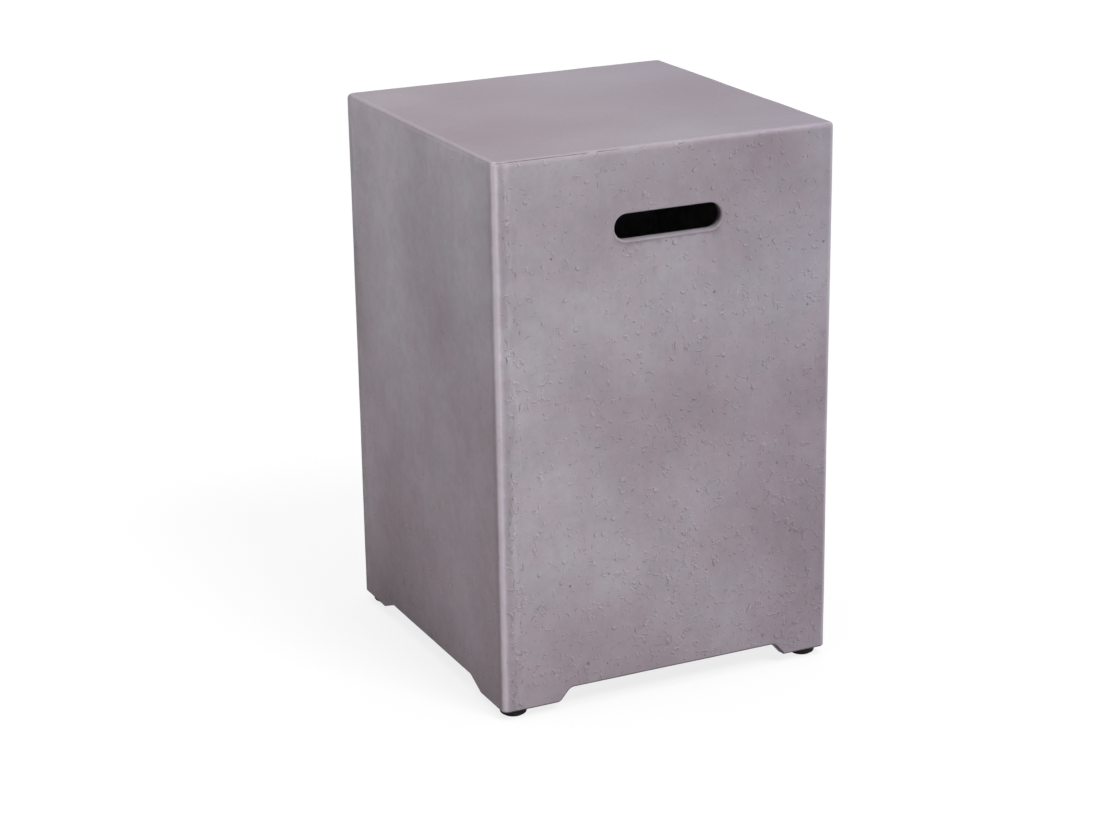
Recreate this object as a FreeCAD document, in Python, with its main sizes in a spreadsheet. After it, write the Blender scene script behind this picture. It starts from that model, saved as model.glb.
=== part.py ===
import FreeCAD, Part

import math
import os

import Sketcher

# A square cover in cast concrete that stands over a gas cylinder, as a side table.
# Millimetres. +Z is up, the floor is z = 0, and the origin lies under the middle of the cover.
# -Y is the front, with the hand slot that faces the viewer.

SIZES = {
    # the cover as a whole
    "cover_width": 410,
    "cover_depth": 410,
    "cover_height": 627,
    # the casting
    "wall_thickness": 12,
    "top_thickness": 15,
    "corner_radius": 8,
    "top_edge_radius": 6.5,
    "bottom_edge_radius": 3,
    "cavity_corner_radius": 6,
    "cavity_roof_radius": 5,
    # the hand slots, one in the front and one in the back
    "slot_length": 130,
    "slot_height": 30,
    "slot_drop": 86.5,
    "slot_rim_radius": 3,
    "slot_inner_radius": 1.5,
    # the shallow reliefs between the corners, along the bottom of each wall
    "front_left_toe": 70,
    "front_right_toe": 56,
    "front_relief_height": 15,
    "front_relief_slope": 13,
    "side_front_toe": 64,
    "side_back_toe": 63,
    "side_relief_height": 12,
    "side_relief_slope": 28,
    "relief_crown_radius": 10,
    "relief_toe_radius": 5,
    # the blocks bonded into the bottom corners
    "block_width": 30,
    "block_height": 42,
    "block_skin": 0.8,
    "block_chamfer": 12,
    "block_top_chamfer": 2,
    "corner_relief": 1,
    "bore_diameter": 9.4,
    # the flanged hexagon nuts in the blocks
    "insert_length": 18,
    "insert_flats": 13,
    "flange_diameter": 16,
    "flange_thickness": 1.6,
    "insert_clearance": 0.2,
    # the studs, M8 with a round head
    "thread_diameter": 8,
    "thread_clearance": 0.05,
    "stud_length": 33,
    "stud_chamfer": 0.8,
    "head_diameter": 14,
    "head_thickness": 3,
    "head_gap": 0.1,
    "key_flats": 4,
    "key_depth": 5,
    # the moulded bases, which snap over the heads
    "base_diameter": 30,
    "base_edge_radius": 1.8,
    "base_floor": 1.6,
    "lip_thickness": 1.5,
    "lip_overlap": 0.8,
    "seat_gap": 0.3,
    # the rubber soles
    "sole_diameter": 24,
    "sole_thickness": 2.4,
    "sole_recess": 1.2,
    "sole_clearance": 0.15,
    "sole_edge_chamfer": 0.5,
}

# Lengths that follow from the driving sizes, as expressions on the sheet.
BASE_BOTTOM = "(sizes.sole_thickness - sizes.sole_recess)"
POCKET_BOTTOM = "(sizes.sole_thickness + sizes.base_floor)"
POCKET_TOP = f"({POCKET_BOTTOM} + sizes.head_thickness + 2 * sizes.head_gap)"
BASE_TOP = f"({POCKET_TOP} + sizes.lip_thickness)"
SHELL_BOTTOM = f"({BASE_TOP} + sizes.seat_gap)"
SHELL_HEIGHT = f"(sizes.cover_height - {SHELL_BOTTOM})"
BLOCK_OUTSIDE = "(sizes.block_skin + sizes.insert_clearance + sizes.flange_diameter / 2)"
FOOT_INSET = f"(sizes.wall_thickness + {BLOCK_OUTSIDE})"
HEAD_BOTTOM = f"({POCKET_BOTTOM} + sizes.head_gap)"
HEAD_TOP = f"({HEAD_BOTTOM} + sizes.head_thickness)"
STUD_TOP = f"({HEAD_TOP} + sizes.stud_length)"

# The corners in order round the cover, each a quarter turn on from the one before.
CORNERS = ("front_left", "front_right", "back_right", "back_left")
QUARTER_TURN = 90

# Two lengths this close are the same, and so many points tell where an edge runs.
NEAR = 1e-4
EDGE_POINTS = 5

doc = FreeCAD.newDocument("cover")
pieces = []


def fill_sheet():
    """Write each driving size into the sheet, under its own name."""
    sheet = doc.addObject("Spreadsheet::Sheet", "sizes")
    for row, (name, value) in enumerate(SIZES.items(), start=1):
        sheet.set(f"A{row}", name)
        sheet.set(f"B{row}", str(value))
        sheet.setAlias(f"B{row}", name)
    doc.recompute()
    return sheet


sizes = fill_sheet()


def number(expression):
    """The value of an expression on the sheet."""
    return float(sizes.evalExpression(expression.replace("sizes.", "")))


def new_body(label):
    """A body whose label names its file."""
    body = doc.addObject("PartDesign::Body", label)
    body.Label = label
    pieces.append(body)
    return body


def new_sketch(body, name, plane, height=None):
    """A sketch on one of the body's own planes, raised by height along its normal."""
    sketch = body.newObject("Sketcher::SketchObject", f"{body.Name}_{name}")
    origin = [f for f in body.Origin.OriginFeatures if f.Role == plane][0]
    sketch.AttachmentSupport = [(origin, "")]
    sketch.MapMode = "FlatFace"
    if height:
        sketch.setExpression("AttachmentOffset.Base.z", height)
    doc.recompute()
    return sketch


def locate(sketch, geometry, point, place):
    """Tie a point of the sketch to the two expressions of place."""
    for kind, axis, expression in zip(("DistanceX", "DistanceY"), (-2, -1), place):
        value = number(expression)
        if abs(value) < NEAR:
            sketch.addConstraint(Sketcher.Constraint("PointOnObject", geometry, point, axis))
        else:
            tie = Sketcher.Constraint(kind, -1, 1, geometry, point, value)
            index = sketch.addConstraint(tie)
            sketch.setExpression(f"Constraints[{index}]", expression)


def outline(sketch, corners):
    """A closed outline of straight lines through the corners, each a pair of expressions."""
    spots = [FreeCAD.Vector(number(x), number(y), 0) for x, y in corners]
    lines = [
        sketch.addGeometry(Part.LineSegment(spot, spots[(i + 1) % len(spots)]))
        for i, spot in enumerate(spots)
    ]
    for i, line in enumerate(lines):
        following = lines[(i + 1) % len(lines)]
        sketch.addConstraint(Sketcher.Constraint("Coincident", line, 2, following, 1))
        locate(sketch, line, 1, corners[i])
    doc.recompute()


def rectangle(sketch, width, depth):
    """A rectangle about the sketch's origin."""
    right, back = f"{width} / 2", f"{depth} / 2"
    left, front = f"-{width} / 2", f"-{depth} / 2"
    outline(sketch, [(left, front), (right, front), (right, back), (left, back)])


def circle(sketch, diameter):
    """A circle about the sketch's origin."""
    shape = Part.Circle(FreeCAD.Vector(), FreeCAD.Vector(0, 0, 1), number(diameter) / 2)
    ring = sketch.addGeometry(shape)
    sketch.addConstraint(Sketcher.Constraint("Coincident", ring, 3, -1, 1))
    index = sketch.addConstraint(Sketcher.Constraint("Diameter", ring, number(diameter)))
    sketch.setExpression(f"Constraints[{index}]", diameter)
    doc.recompute()


def hexagon(sketch, flats):
    """A regular hexagon about the sketch's origin, with flats at the left and right."""
    side, half, tip = f"{flats} / 2", f"{flats} / (2 * sqrt(3))", f"{flats} / sqrt(3)"
    outline(
        sketch,
        [
            (side, f"-{half}"),
            (side, half),
            ("0", tip),
            (f"-{side}", half),
            (f"-{side}", f"-{half}"),
            ("0", f"-{tip}"),
        ],
    )


def long_slot(sketch, length, height, middle):
    """A slot with half-round ends, centred on the sketch's vertical axis at middle."""
    radius = number(height) / 2
    reach = number(length) / 2 - radius
    level = number(middle)
    up = FreeCAD.Vector(0, 0, 1)
    arcs = []
    for side, first in ((1, -math.pi / 2), (-1, math.pi / 2)):
        round_end = Part.Circle(FreeCAD.Vector(side * reach, level, 0), up, radius)
        half_round = Part.ArcOfCircle(round_end, first, first + math.pi)
        arcs.append(sketch.addGeometry(half_round))
    right, left = arcs
    lines = []
    for side in (1, -1):
        start = FreeCAD.Vector(side * reach, level + side * radius, 0)
        end = FreeCAD.Vector(-side * reach, level + side * radius, 0)
        lines.append(sketch.addGeometry(Part.LineSegment(start, end)))
    top, bottom = lines
    for first, last in ((right, top), (top, left), (left, bottom), (bottom, right)):
        sketch.addConstraint(Sketcher.Constraint("Tangent", first, 2, last, 1))
    sketch.addConstraint(Sketcher.Constraint("Equal", right, left))
    index = sketch.addConstraint(Sketcher.Constraint("Radius", right, radius))
    sketch.setExpression(f"Constraints[{index}]", f"{height} / 2")
    locate(sketch, right, 3, (f"({length} - {height}) / 2", middle))
    locate(sketch, left, 3, (f"({height} - {length}) / 2", middle))
    doc.recompute()


def pad(body, sketch, length):
    """Raise a sketch into a solid."""
    feature = body.newObject("PartDesign::Pad", f"{sketch.Name}_pad")
    feature.Profile = sketch
    feature.setExpression("Length", length)
    doc.recompute()


def pocket(body, sketch, length=None, reverse=False):
    """Cut a sketch out of the body, by length, or right through it both ways."""
    before = body.Shape.Volume
    feature = body.newObject("PartDesign::Pocket", f"{sketch.Name}_pocket")
    feature.Profile = sketch
    feature.Reversed = reverse
    if length:
        feature.setExpression("Length", length)
    else:
        feature.Type = "ThroughAll"
        feature.SideType = "Symmetric"
    doc.recompute()
    if not body.Shape.Volume < before - NEAR:
        raise RuntimeError(f"{feature.Name} cuts nothing")


def revolve(body, sketch):
    """Turn a half profile in the XZ plane about the body's own Z axis."""
    feature = body.newObject("PartDesign::Revolution", f"{sketch.Name}_turned")
    feature.Profile = sketch
    feature.ReferenceAxis = (sketch, ["V_Axis"])
    feature.Angle = 4 * QUARTER_TURN
    doc.recompute()


def edges_where(body, test):
    """The names of the body's edges that pass the test."""
    return [f"Edge{i}" for i, edge in enumerate(body.Shape.Edges, start=1) if test(edge)]


def round_off(body, name, radius, test):
    """Round the edges that pass the test."""
    names = edges_where(body, test)
    if not names:
        raise RuntimeError(f"{body.Name} has no edge for {name}")
    feature = body.newObject("PartDesign::Fillet", f"{body.Name}_{name}")
    feature.Base = (feature.BaseFeature, names)
    feature.setExpression("Radius", radius)
    doc.recompute()


def bevel(body, name, size, test):
    """Bevel the edges that pass the test."""
    names = edges_where(body, test)
    if not names:
        raise RuntimeError(f"{body.Name} has no edge for {name}")
    feature = body.newObject("PartDesign::Chamfer", f"{body.Name}_{name}")
    feature.Base = (feature.BaseFeature, names)
    feature.setExpression("Size", size)
    doc.recompute()


def near(value, target):
    """Whether two lengths are the same but for rounding."""
    return abs(value - target) < NEAR


def upright(edge):
    """Whether an edge is a vertical line."""
    box = edge.BoundBox
    return near(box.XLength, 0) and near(box.YLength, 0) and box.ZLength > NEAR


def level_at(edge, height):
    """Whether an edge lies flat at a height."""
    return near(edge.BoundBox.ZMin, height) and near(edge.BoundBox.ZMax, height)


def along_wall(edge, axis):
    """Whether an edge is a line through a wall, along X or Y."""
    box = edge.BoundBox
    spans = {"X": box.XLength, "Y": box.YLength, "Z": box.ZLength}
    thickness = spans.pop(axis)
    return near(thickness, number("sizes.wall_thickness")) and max(spans.values()) < NEAR


def relief(body, name, plane, start, end, height, slope, reverse):
    """Cut a relief with sloped ends up from the bottom of one wall."""
    sketch = new_sketch(body, name, plane)
    corners = [
        (start, "0"),
        (end, "0"),
        (f"{end} - {slope}", height),
        (f"{start} + {slope}", height),
    ]
    outline(sketch, corners)
    span = "sizes.cover_depth" if plane == "XZ_Plane" else "sizes.cover_width"
    pocket(body, sketch, f"{span} / 2", reverse)


def cut_reliefs(shell):
    """The four reliefs, the back like the front and the right like the left."""
    front = ("-sizes.cover_width / 2 + sizes.front_left_toe",
             "sizes.cover_width / 2 - sizes.front_right_toe")
    side = ("-sizes.cover_depth / 2 + sizes.side_front_toe",
            "sizes.cover_depth / 2 - sizes.side_back_toe")
    tall = ("sizes.front_relief_height", "sizes.front_relief_slope")
    low = ("sizes.side_relief_height", "sizes.side_relief_slope")
    relief(shell, "front_relief", "XZ_Plane", *front, *tall, reverse=True)
    relief(shell, "back_relief", "XZ_Plane", *front, *tall, reverse=False)
    relief(shell, "left_relief", "YZ_Plane", *side, *low, reverse=False)
    relief(shell, "right_relief", "YZ_Plane", *side, *low, reverse=True)


def round_reliefs(shell):
    """Ease the corners of the reliefs: wide at the crown, tighter at the toes."""
    crowns = {
        "Y": number("sizes.front_relief_height"),
        "X": number("sizes.side_relief_height"),
    }

    def at_level(edge, heights):
        return any(along_wall(edge, axis) and level_at(edge, heights[axis]) for axis in "XY")

    round_off(shell, "crowns", "sizes.relief_crown_radius", lambda edge: at_level(edge, crowns))
    toes = {"X": 0, "Y": 0}
    round_off(shell, "toes", "sizes.relief_toe_radius", lambda edge: at_level(edge, toes))


def on_outside(point):
    """Whether a point lies on the casting's outer walls, round corners included."""
    radius = number("sizes.corner_radius")
    across = abs(point.x) - number("sizes.cover_width") / 2 + radius
    along = abs(point.y) - number("sizes.cover_depth") / 2 + radius
    if across > 0 and along > 0:
        return near(math.hypot(across, along), radius)
    return near(max(across, along), radius)


def bottom_rim(edge):
    """Whether an edge runs along the bottom of the outer walls, reliefs included."""
    crest = max(number("sizes.front_relief_height"), number("sizes.side_relief_height"))
    if edge.BoundBox.ZMax > crest + NEAR:
        return False
    return all(on_outside(point) for point in edge.discretize(Number=EDGE_POINTS))


def slot_rim(edge, distance):
    """Whether an edge is a slot's outline at a distance from the middle along Y."""
    box = edge.BoundBox
    if not (near(abs(box.YMin), distance) and near(box.YMin, box.YMax)):
        return False
    middle = number(f"{SHELL_HEIGHT} - sizes.slot_drop")
    reach = number("sizes.slot_height") / 2 + NEAR
    across = number("sizes.slot_length") / 2 + NEAR
    inside = box.ZMin > middle - reach and box.ZMax < middle + reach
    return inside and box.XMin > -across and box.XMax < across


def hollow(shell):
    """Cut the space for the cylinder, open below, with its corners and roof rounded."""
    cavity = new_sketch(shell, "cavity", "XY_Plane")
    width = "(sizes.cover_width - 2 * sizes.wall_thickness)"
    depth = "(sizes.cover_depth - 2 * sizes.wall_thickness)"
    roof = f"{SHELL_HEIGHT} - sizes.top_thickness"
    rectangle(cavity, width, depth)
    pocket(shell, cavity, roof, reverse=True)
    half_width = number(width) / 2
    round_off(
        shell,
        "cavity_corners",
        "sizes.cavity_corner_radius",
        lambda edge: upright(edge) and near(abs(edge.BoundBox.XMin), half_width),
    )
    level = number(roof)
    round_off(
        shell, "cavity_roof", "sizes.cavity_roof_radius", lambda edge: level_at(edge, level)
    )


def cut_slots(shell):
    """Cut the hand slots through the front and the back, and ease their rims."""
    slots = new_sketch(shell, "hand_slots", "XZ_Plane")
    middle = f"({SHELL_HEIGHT} - sizes.slot_drop)"
    long_slot(slots, "sizes.slot_length", "sizes.slot_height", middle)
    pocket(shell, slots)
    outer = number("sizes.cover_depth") / 2
    inner = outer - number("sizes.wall_thickness")
    round_off(shell, "slot_rims", "sizes.slot_rim_radius", lambda edge: slot_rim(edge, outer))
    round_off(shell, "slot_backs", "sizes.slot_inner_radius", lambda edge: slot_rim(edge, inner))


def make_shell():
    """The one-piece casting: four walls and a top, open below."""
    shell = new_body("cast_shell")
    block = new_sketch(shell, "footprint", "XY_Plane")
    rectangle(block, "sizes.cover_width", "sizes.cover_depth")
    pad(shell, block, SHELL_HEIGHT)
    round_off(shell, "corners", "sizes.corner_radius", upright)
    top = number(SHELL_HEIGHT)
    round_off(shell, "top_edge", "sizes.top_edge_radius", lambda edge: level_at(edge, top))
    hollow(shell)
    cut_slots(shell)
    cut_reliefs(shell)
    round_reliefs(shell)
    round_off(shell, "bottom_rim", "sizes.bottom_edge_radius", bottom_rim)
    shell.setExpression("Placement.Base.z", SHELL_BOTTOM)


def stand_at(body, corner, height="0"):
    """Put a body on its corner's foot axis, turned so that its +X and +Y point inwards."""
    turn = QUARTER_TURN * CORNERS.index(corner)
    across = "-" if corner.endswith("left") else ""
    along = "-" if corner.startswith("front") else ""
    body.Placement.Rotation = FreeCAD.Rotation(FreeCAD.Vector(0, 0, 1), turn)
    body.setExpression("Placement.Base.x", f"{across}(sizes.cover_width / 2 - {FOOT_INSET})")
    body.setExpression("Placement.Base.y", f"{along}(sizes.cover_depth / 2 - {FOOT_INSET})")
    body.setExpression("Placement.Base.z", height)


def make_block(corner):
    """A corner block, round where it meets the casting's corner, with its seat for the nut."""
    block = new_body(f"corner_block_{corner}")
    far = f"(sizes.block_width - {BLOCK_OUTSIDE})"
    close = f"-{BLOCK_OUTSIDE}"
    base = new_sketch(block, "footprint", "XY_Plane")
    outline(base, [(close, close), (far, close), (far, far), (close, far)])
    pad(block, base, "sizes.block_height")

    def standing_at(edge, place):
        return upright(edge) and near(edge.BoundBox.XMin, place) and near(edge.BoundBox.YMin, place)

    round_off(
        block,
        "outer_corner",
        "sizes.cavity_corner_radius + sizes.corner_relief",
        lambda edge: standing_at(edge, number(close)),
    )
    reach = number(far)
    bevel(block, "inner_corner", "sizes.block_chamfer", lambda edge: standing_at(edge, reach))
    height = number("sizes.block_height")

    past_the_round = number(close) + number("sizes.cavity_corner_radius")

    def top_inside(edge):
        box = edge.BoundBox
        inward = near(box.XMax, reach) or near(box.YMax, reach)
        clear = box.XMin > past_the_round or box.YMin > past_the_round
        return level_at(edge, height) and inward and clear

    bevel(block, "top_edge", "sizes.block_top_chamfer", top_inside)
    bore = new_sketch(block, "bore", "XY_Plane")
    circle(bore, "sizes.bore_diameter")
    pocket(block, bore, "sizes.block_height", reverse=True)
    seat = new_sketch(block, "nut_seat", "XY_Plane")
    hexagon(seat, "(sizes.insert_flats + 2 * sizes.insert_clearance)")
    pocket(block, seat, "sizes.insert_length", reverse=True)
    recess = new_sketch(block, "flange_seat", "XY_Plane")
    circle(recess, "(sizes.flange_diameter + 2 * sizes.insert_clearance)")
    pocket(block, recess, "sizes.flange_thickness", reverse=True)
    stand_at(block, corner, SHELL_BOTTOM)


def make_insert(corner):
    """A flanged hexagon nut, flange down and flush with the block's underside."""
    insert = new_body(f"threaded_insert_{corner}")
    hexagonal = new_sketch(insert, "hexagon", "XY_Plane")
    hexagon(hexagonal, "sizes.insert_flats")
    pad(insert, hexagonal, "sizes.insert_length")
    flange = new_sketch(insert, "flange", "XY_Plane")
    circle(flange, "sizes.flange_diameter")
    pad(insert, flange, "sizes.flange_thickness")
    bore = new_sketch(insert, "bore", "XY_Plane")
    circle(bore, "(sizes.thread_diameter + 2 * sizes.thread_clearance)")
    pocket(insert, bore, "sizes.insert_length", reverse=True)
    stand_at(insert, corner, SHELL_BOTTOM)


def make_stud(corner):
    """A stud with a round head below and a hexagon socket in its top end."""
    stud = new_body(f"foot_stud_{corner}")
    head, shank = "sizes.head_diameter / 2", "sizes.thread_diameter / 2"
    profile = new_sketch(stud, "profile", "XZ_Plane")
    corners = [
        ("0", HEAD_BOTTOM),
        (head, HEAD_BOTTOM),
        (head, HEAD_TOP),
        (shank, HEAD_TOP),
        (shank, f"{STUD_TOP} - sizes.stud_chamfer"),
        (f"{shank} - sizes.stud_chamfer", STUD_TOP),
        ("0", STUD_TOP),
    ]
    outline(profile, corners)
    revolve(stud, profile)
    socket = new_sketch(stud, "key_socket", "XY_Plane", STUD_TOP)
    hexagon(socket, "sizes.key_flats")
    pocket(stud, socket, "sizes.key_depth")
    stand_at(stud, corner)


def make_base(corner):
    """A round base: a recess for the sole below, and a pocket with a lip for the head above."""
    base = new_body(f"foot_base_{corner}")
    rim = "sizes.base_diameter / 2"
    sole = "(sizes.sole_diameter / 2 + sizes.sole_clearance)"
    pocket_wall = "(sizes.head_diameter / 2 + sizes.head_gap)"
    lip = "(sizes.head_diameter / 2 - sizes.lip_overlap)"
    corners = [
        ("0", "sizes.sole_thickness"),
        (sole, "sizes.sole_thickness"),
        (sole, BASE_BOTTOM),
        (rim, BASE_BOTTOM),
        (rim, BASE_TOP),
        (lip, BASE_TOP),
        (lip, POCKET_TOP),
        (pocket_wall, POCKET_TOP),
        (pocket_wall, POCKET_BOTTOM),
        ("0", POCKET_BOTTOM),
    ]
    profile = new_sketch(base, "profile", "XZ_Plane")
    outline(profile, corners)
    revolve(base, profile)
    width = number("sizes.base_diameter")
    round_off(
        base,
        "rim",
        "sizes.base_edge_radius",
        lambda edge: near(edge.BoundBox.XLength, width) and near(edge.BoundBox.ZLength, 0),
    )
    stand_at(base, corner)


def make_sole(corner):
    """A rubber disc that stands proud of the base by what its recess doesn't hold."""
    sole = new_body(f"foot_sole_{corner}")
    disc = new_sketch(sole, "disc", "XY_Plane")
    circle(disc, "sizes.sole_diameter")
    pad(sole, disc, "sizes.sole_thickness")
    bevel(sole, "tread_edge", "sizes.sole_edge_chamfer", lambda edge: level_at(edge, 0))
    stand_at(sole, corner)


def write_pieces():
    """Check each object and each piece's solid, then write one file a piece."""
    doc.recompute()
    for thing in doc.Objects:
        if {"Invalid", "Error"} & set(thing.State):
            raise RuntimeError(f"{thing.Name} is {thing.State}")
    os.makedirs("parts", exist_ok=True)
    for piece in pieces:
        shape = piece.Shape
        if shape.isNull() or not shape.isValid() or len(shape.Solids) != 1:
            raise RuntimeError(f"{piece.Label} isn't one valid solid")
        shape.exportStep(f"parts/{piece.Label}.step")
        print(f"{piece.Label}: {shape.Volume / 1000:.2f} cm3")


make_shell()
for corner in CORNERS:
    make_block(corner)
    make_insert(corner)
    make_stud(corner)
    make_base(corner)
    make_sole(corner)
write_pieces()
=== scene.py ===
"""Looks of a square cast-concrete cover for a gas cylinder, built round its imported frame."""

import logging
import random
from collections.abc import Callable, Sequence
from dataclasses import dataclass, field, fields
from enum import Enum
from functools import partial
from math import ceil, cos, hypot, pi, radians, sin, sqrt, tan, tau

import bmesh
import bpy
import numpy as np
from mathutils import Matrix, Vector, noise
from mathutils.geometry import delaunay_2d_cdt


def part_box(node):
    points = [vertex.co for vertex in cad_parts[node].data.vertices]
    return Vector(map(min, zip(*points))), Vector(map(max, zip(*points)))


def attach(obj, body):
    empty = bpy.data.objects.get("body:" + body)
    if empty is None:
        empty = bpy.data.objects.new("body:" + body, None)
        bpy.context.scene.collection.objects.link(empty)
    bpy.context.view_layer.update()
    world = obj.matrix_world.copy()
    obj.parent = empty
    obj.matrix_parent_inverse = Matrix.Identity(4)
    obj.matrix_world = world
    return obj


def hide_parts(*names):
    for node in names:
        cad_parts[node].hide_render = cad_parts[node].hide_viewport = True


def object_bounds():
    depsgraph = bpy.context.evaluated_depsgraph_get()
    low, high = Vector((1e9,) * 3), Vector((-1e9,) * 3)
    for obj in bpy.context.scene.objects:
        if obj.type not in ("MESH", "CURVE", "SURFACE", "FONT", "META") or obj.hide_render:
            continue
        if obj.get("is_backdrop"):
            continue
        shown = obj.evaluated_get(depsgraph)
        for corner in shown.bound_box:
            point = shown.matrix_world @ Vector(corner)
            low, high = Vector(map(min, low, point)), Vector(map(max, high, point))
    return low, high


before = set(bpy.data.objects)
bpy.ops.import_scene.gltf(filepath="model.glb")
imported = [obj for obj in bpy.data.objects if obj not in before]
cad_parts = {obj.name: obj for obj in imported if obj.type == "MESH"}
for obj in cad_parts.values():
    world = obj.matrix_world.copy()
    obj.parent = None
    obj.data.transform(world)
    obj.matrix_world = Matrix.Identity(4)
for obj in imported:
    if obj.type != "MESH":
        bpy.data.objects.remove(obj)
CAD_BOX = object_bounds()

LOG = logging.getLogger("cover")
MM = 0.001

QUARTER = pi / 2
ARC_STEP = 1.2 * MM
SAME_SPOT = 1e-5

Flat = tuple[float, float]
Point = tuple[float, float, float]
Colour = tuple[float, float, float, float]
Pairs = list[tuple[int, int]]
Places = dict[int, Flat]
Socket = bpy.types.NodeSocket
Sockets = dict[str, Socket]
Source = Socket | float | Sequence[float]
Feeds = dict[str | int, Source]


class Side(Enum):
    """The four walls, each a quarter turn on from the one before, seen from outside."""

    FRONT = 0
    RIGHT = 1
    BACK = 2
    LEFT = 3

    def turned(self, along: float, outward: float) -> Flat:
        """The X and Y of a spot on this wall.

        Args:
            along: Distance from the wall's middle, to the right as seen from outside.
            outward: Distance from the cover's axis.

        Returns:
            The spot in the frame's X and Y.
        """
        x, y = along, -outward
        for _ in range(self.value):
            x, y = -y, x
        return x, y


class Corner(Enum):
    """The four corners, by the names that the frame's nodes carry."""

    FRONT_LEFT = "front_left"
    FRONT_RIGHT = "front_right"
    BACK_RIGHT = "back_right"
    BACK_LEFT = "back_left"


class Finish(Enum):
    """Material slots of the casting's mesh."""

    OUTSIDE = 0
    INSIDE = 1


def smooth(value: float, low: float, high: float) -> float:
    """A soft step of a value from 0 at low to 1 at high."""
    share = min(1.0, max(0.0, (value - low) / (high - low)))
    return share * share * (3 - 2 * share)


def ripple(place: Sequence[float], scale: float, seed: float) -> float:
    """Smooth noise from about -1 to 1, with lumps of a size in metres."""
    return noise.noise(Vector(place) / scale + Vector((seed, seed * 0.37, -seed)))


def layered(place: Sequence[float], layers: Sequence[Point]) -> float:
    """The sum of layers of smooth noise, each by its lumps' size, its seed and its strength."""
    return sum(strength * ripple(place, size, seed) for size, seed, strength in layers)


def rounded_path(corners: Sequence[Flat], radii: Sequence[float], step: float) -> list[Flat]:
    """A path through corners, each rounded by an arc, with its straight runs divided.

    Args:
        corners: The path's corners and its two ends.
        radii: A radius for each of them, 0 where the corner stays sharp.
        step: The longest piece of a straight run.

    Returns:
        Points along the path.
    """
    stops: list[list[Flat]] = []
    for index, (corner, radius) in enumerate(zip(corners, radii)):
        if radius == 0:
            stops.append([corner])
            continue
        here = Vector(corner)
        back = (Vector(corners[index - 1]) - here).normalized()
        ahead = (Vector(corners[index + 1]) - here).normalized()
        half = back.angle(ahead) / 2
        middle = here + (back + ahead).normalized() * radius / sin(half)
        first = here + back * radius / tan(half) - middle
        sweep = first.angle_signed(here + ahead * radius / tan(half) - middle)
        parts = max(3, ceil(abs(sweep) * radius / ARC_STEP))
        arc = [middle + Matrix.Rotation(-sweep * i / parts, 2) @ first for i in range(parts + 1)]
        stops.append([(spot.x, spot.y) for spot in arc])
    path = list(stops[0])
    for stop in stops[1:]:
        start, end = Vector(path[-1]), Vector(stop[0])
        parts = max(1, ceil((end - start).length / step))
        for i in range(1, parts):
            spot = start.lerp(end, i / parts)
            path.append((spot.x, spot.y))
        path.extend(stop)
    return path


def left_normals(path: Sequence[Flat], closed: bool = False) -> list[Flat]:
    """Unit normals to the left of a path.

    Args:
        path: Its points.
        closed: Whether the last point joins the first.

    Returns:
        A normal for each point.
    """
    normals = []
    last = len(path) - 1
    for i in range(len(path)):
        before = path[i - 1] if i > 0 or closed else path[i]
        after = path[(i + 1) % len(path)] if i < last or closed else path[i]
        run = Vector(after) - Vector(before)
        run.normalize()
        normals.append((-run.y, run.x))
    return normals


def even(low: float, high: float, parts: int) -> list[float]:
    """Evenly spaced numbers from low to high, both included."""
    return [low + (high - low) * i / parts for i in range(parts + 1)]


def spread(low: float, high: float, step: float) -> list[float]:
    """Evenly spaced numbers from low to high, no further apart than step."""
    return even(low, high, max(1, ceil((high - low) / step)))


def inside_loop(spots: np.ndarray, loop: np.ndarray) -> np.ndarray:
    """Which spots lie inside a closed loop.

    Args:
        spots: An array of points, two numbers each.
        loop: The loop's corners, likewise.

    Returns:
        A truth value for each spot.
    """
    found = np.zeros(len(spots), bool)
    x, y = spots[:, 0], spots[:, 1]
    for (x0, y0), (x1, y1) in zip(loop, np.roll(loop, -1, 0)):
        if y0 == y1:
            continue
        crosses = (y0 > y) != (y1 > y)
        found ^= crosses & (x < x0 + (y - y0) * (x1 - x0) / (y1 - y0))
    return found


@dataclass(frozen=True)
class Mark:
    """What the finishes read at a vertex.

    Attributes:
        relief: How far out on a flaw the vertex lies, from -1 to 1; the material paints a highlight
            where it is high and shade where it is below 0.
        grime: How much painted shade lies on it, from 0 to 1: on the side of a flaw away from the
            light, in the seam, inside the slot and along the bottom edge.
        tone: How much paler the colour is there than usual, as a logarithm: the cement's clouds and
            a painted light falloff.
        drag: How far the mould and the trowel dragged the surface there, from 0 to 1.
    """

    relief: float = 0.0
    grime: float = 0.0
    tone: float = 0.0
    drag: float = 0.0


PLAIN = Mark()


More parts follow.
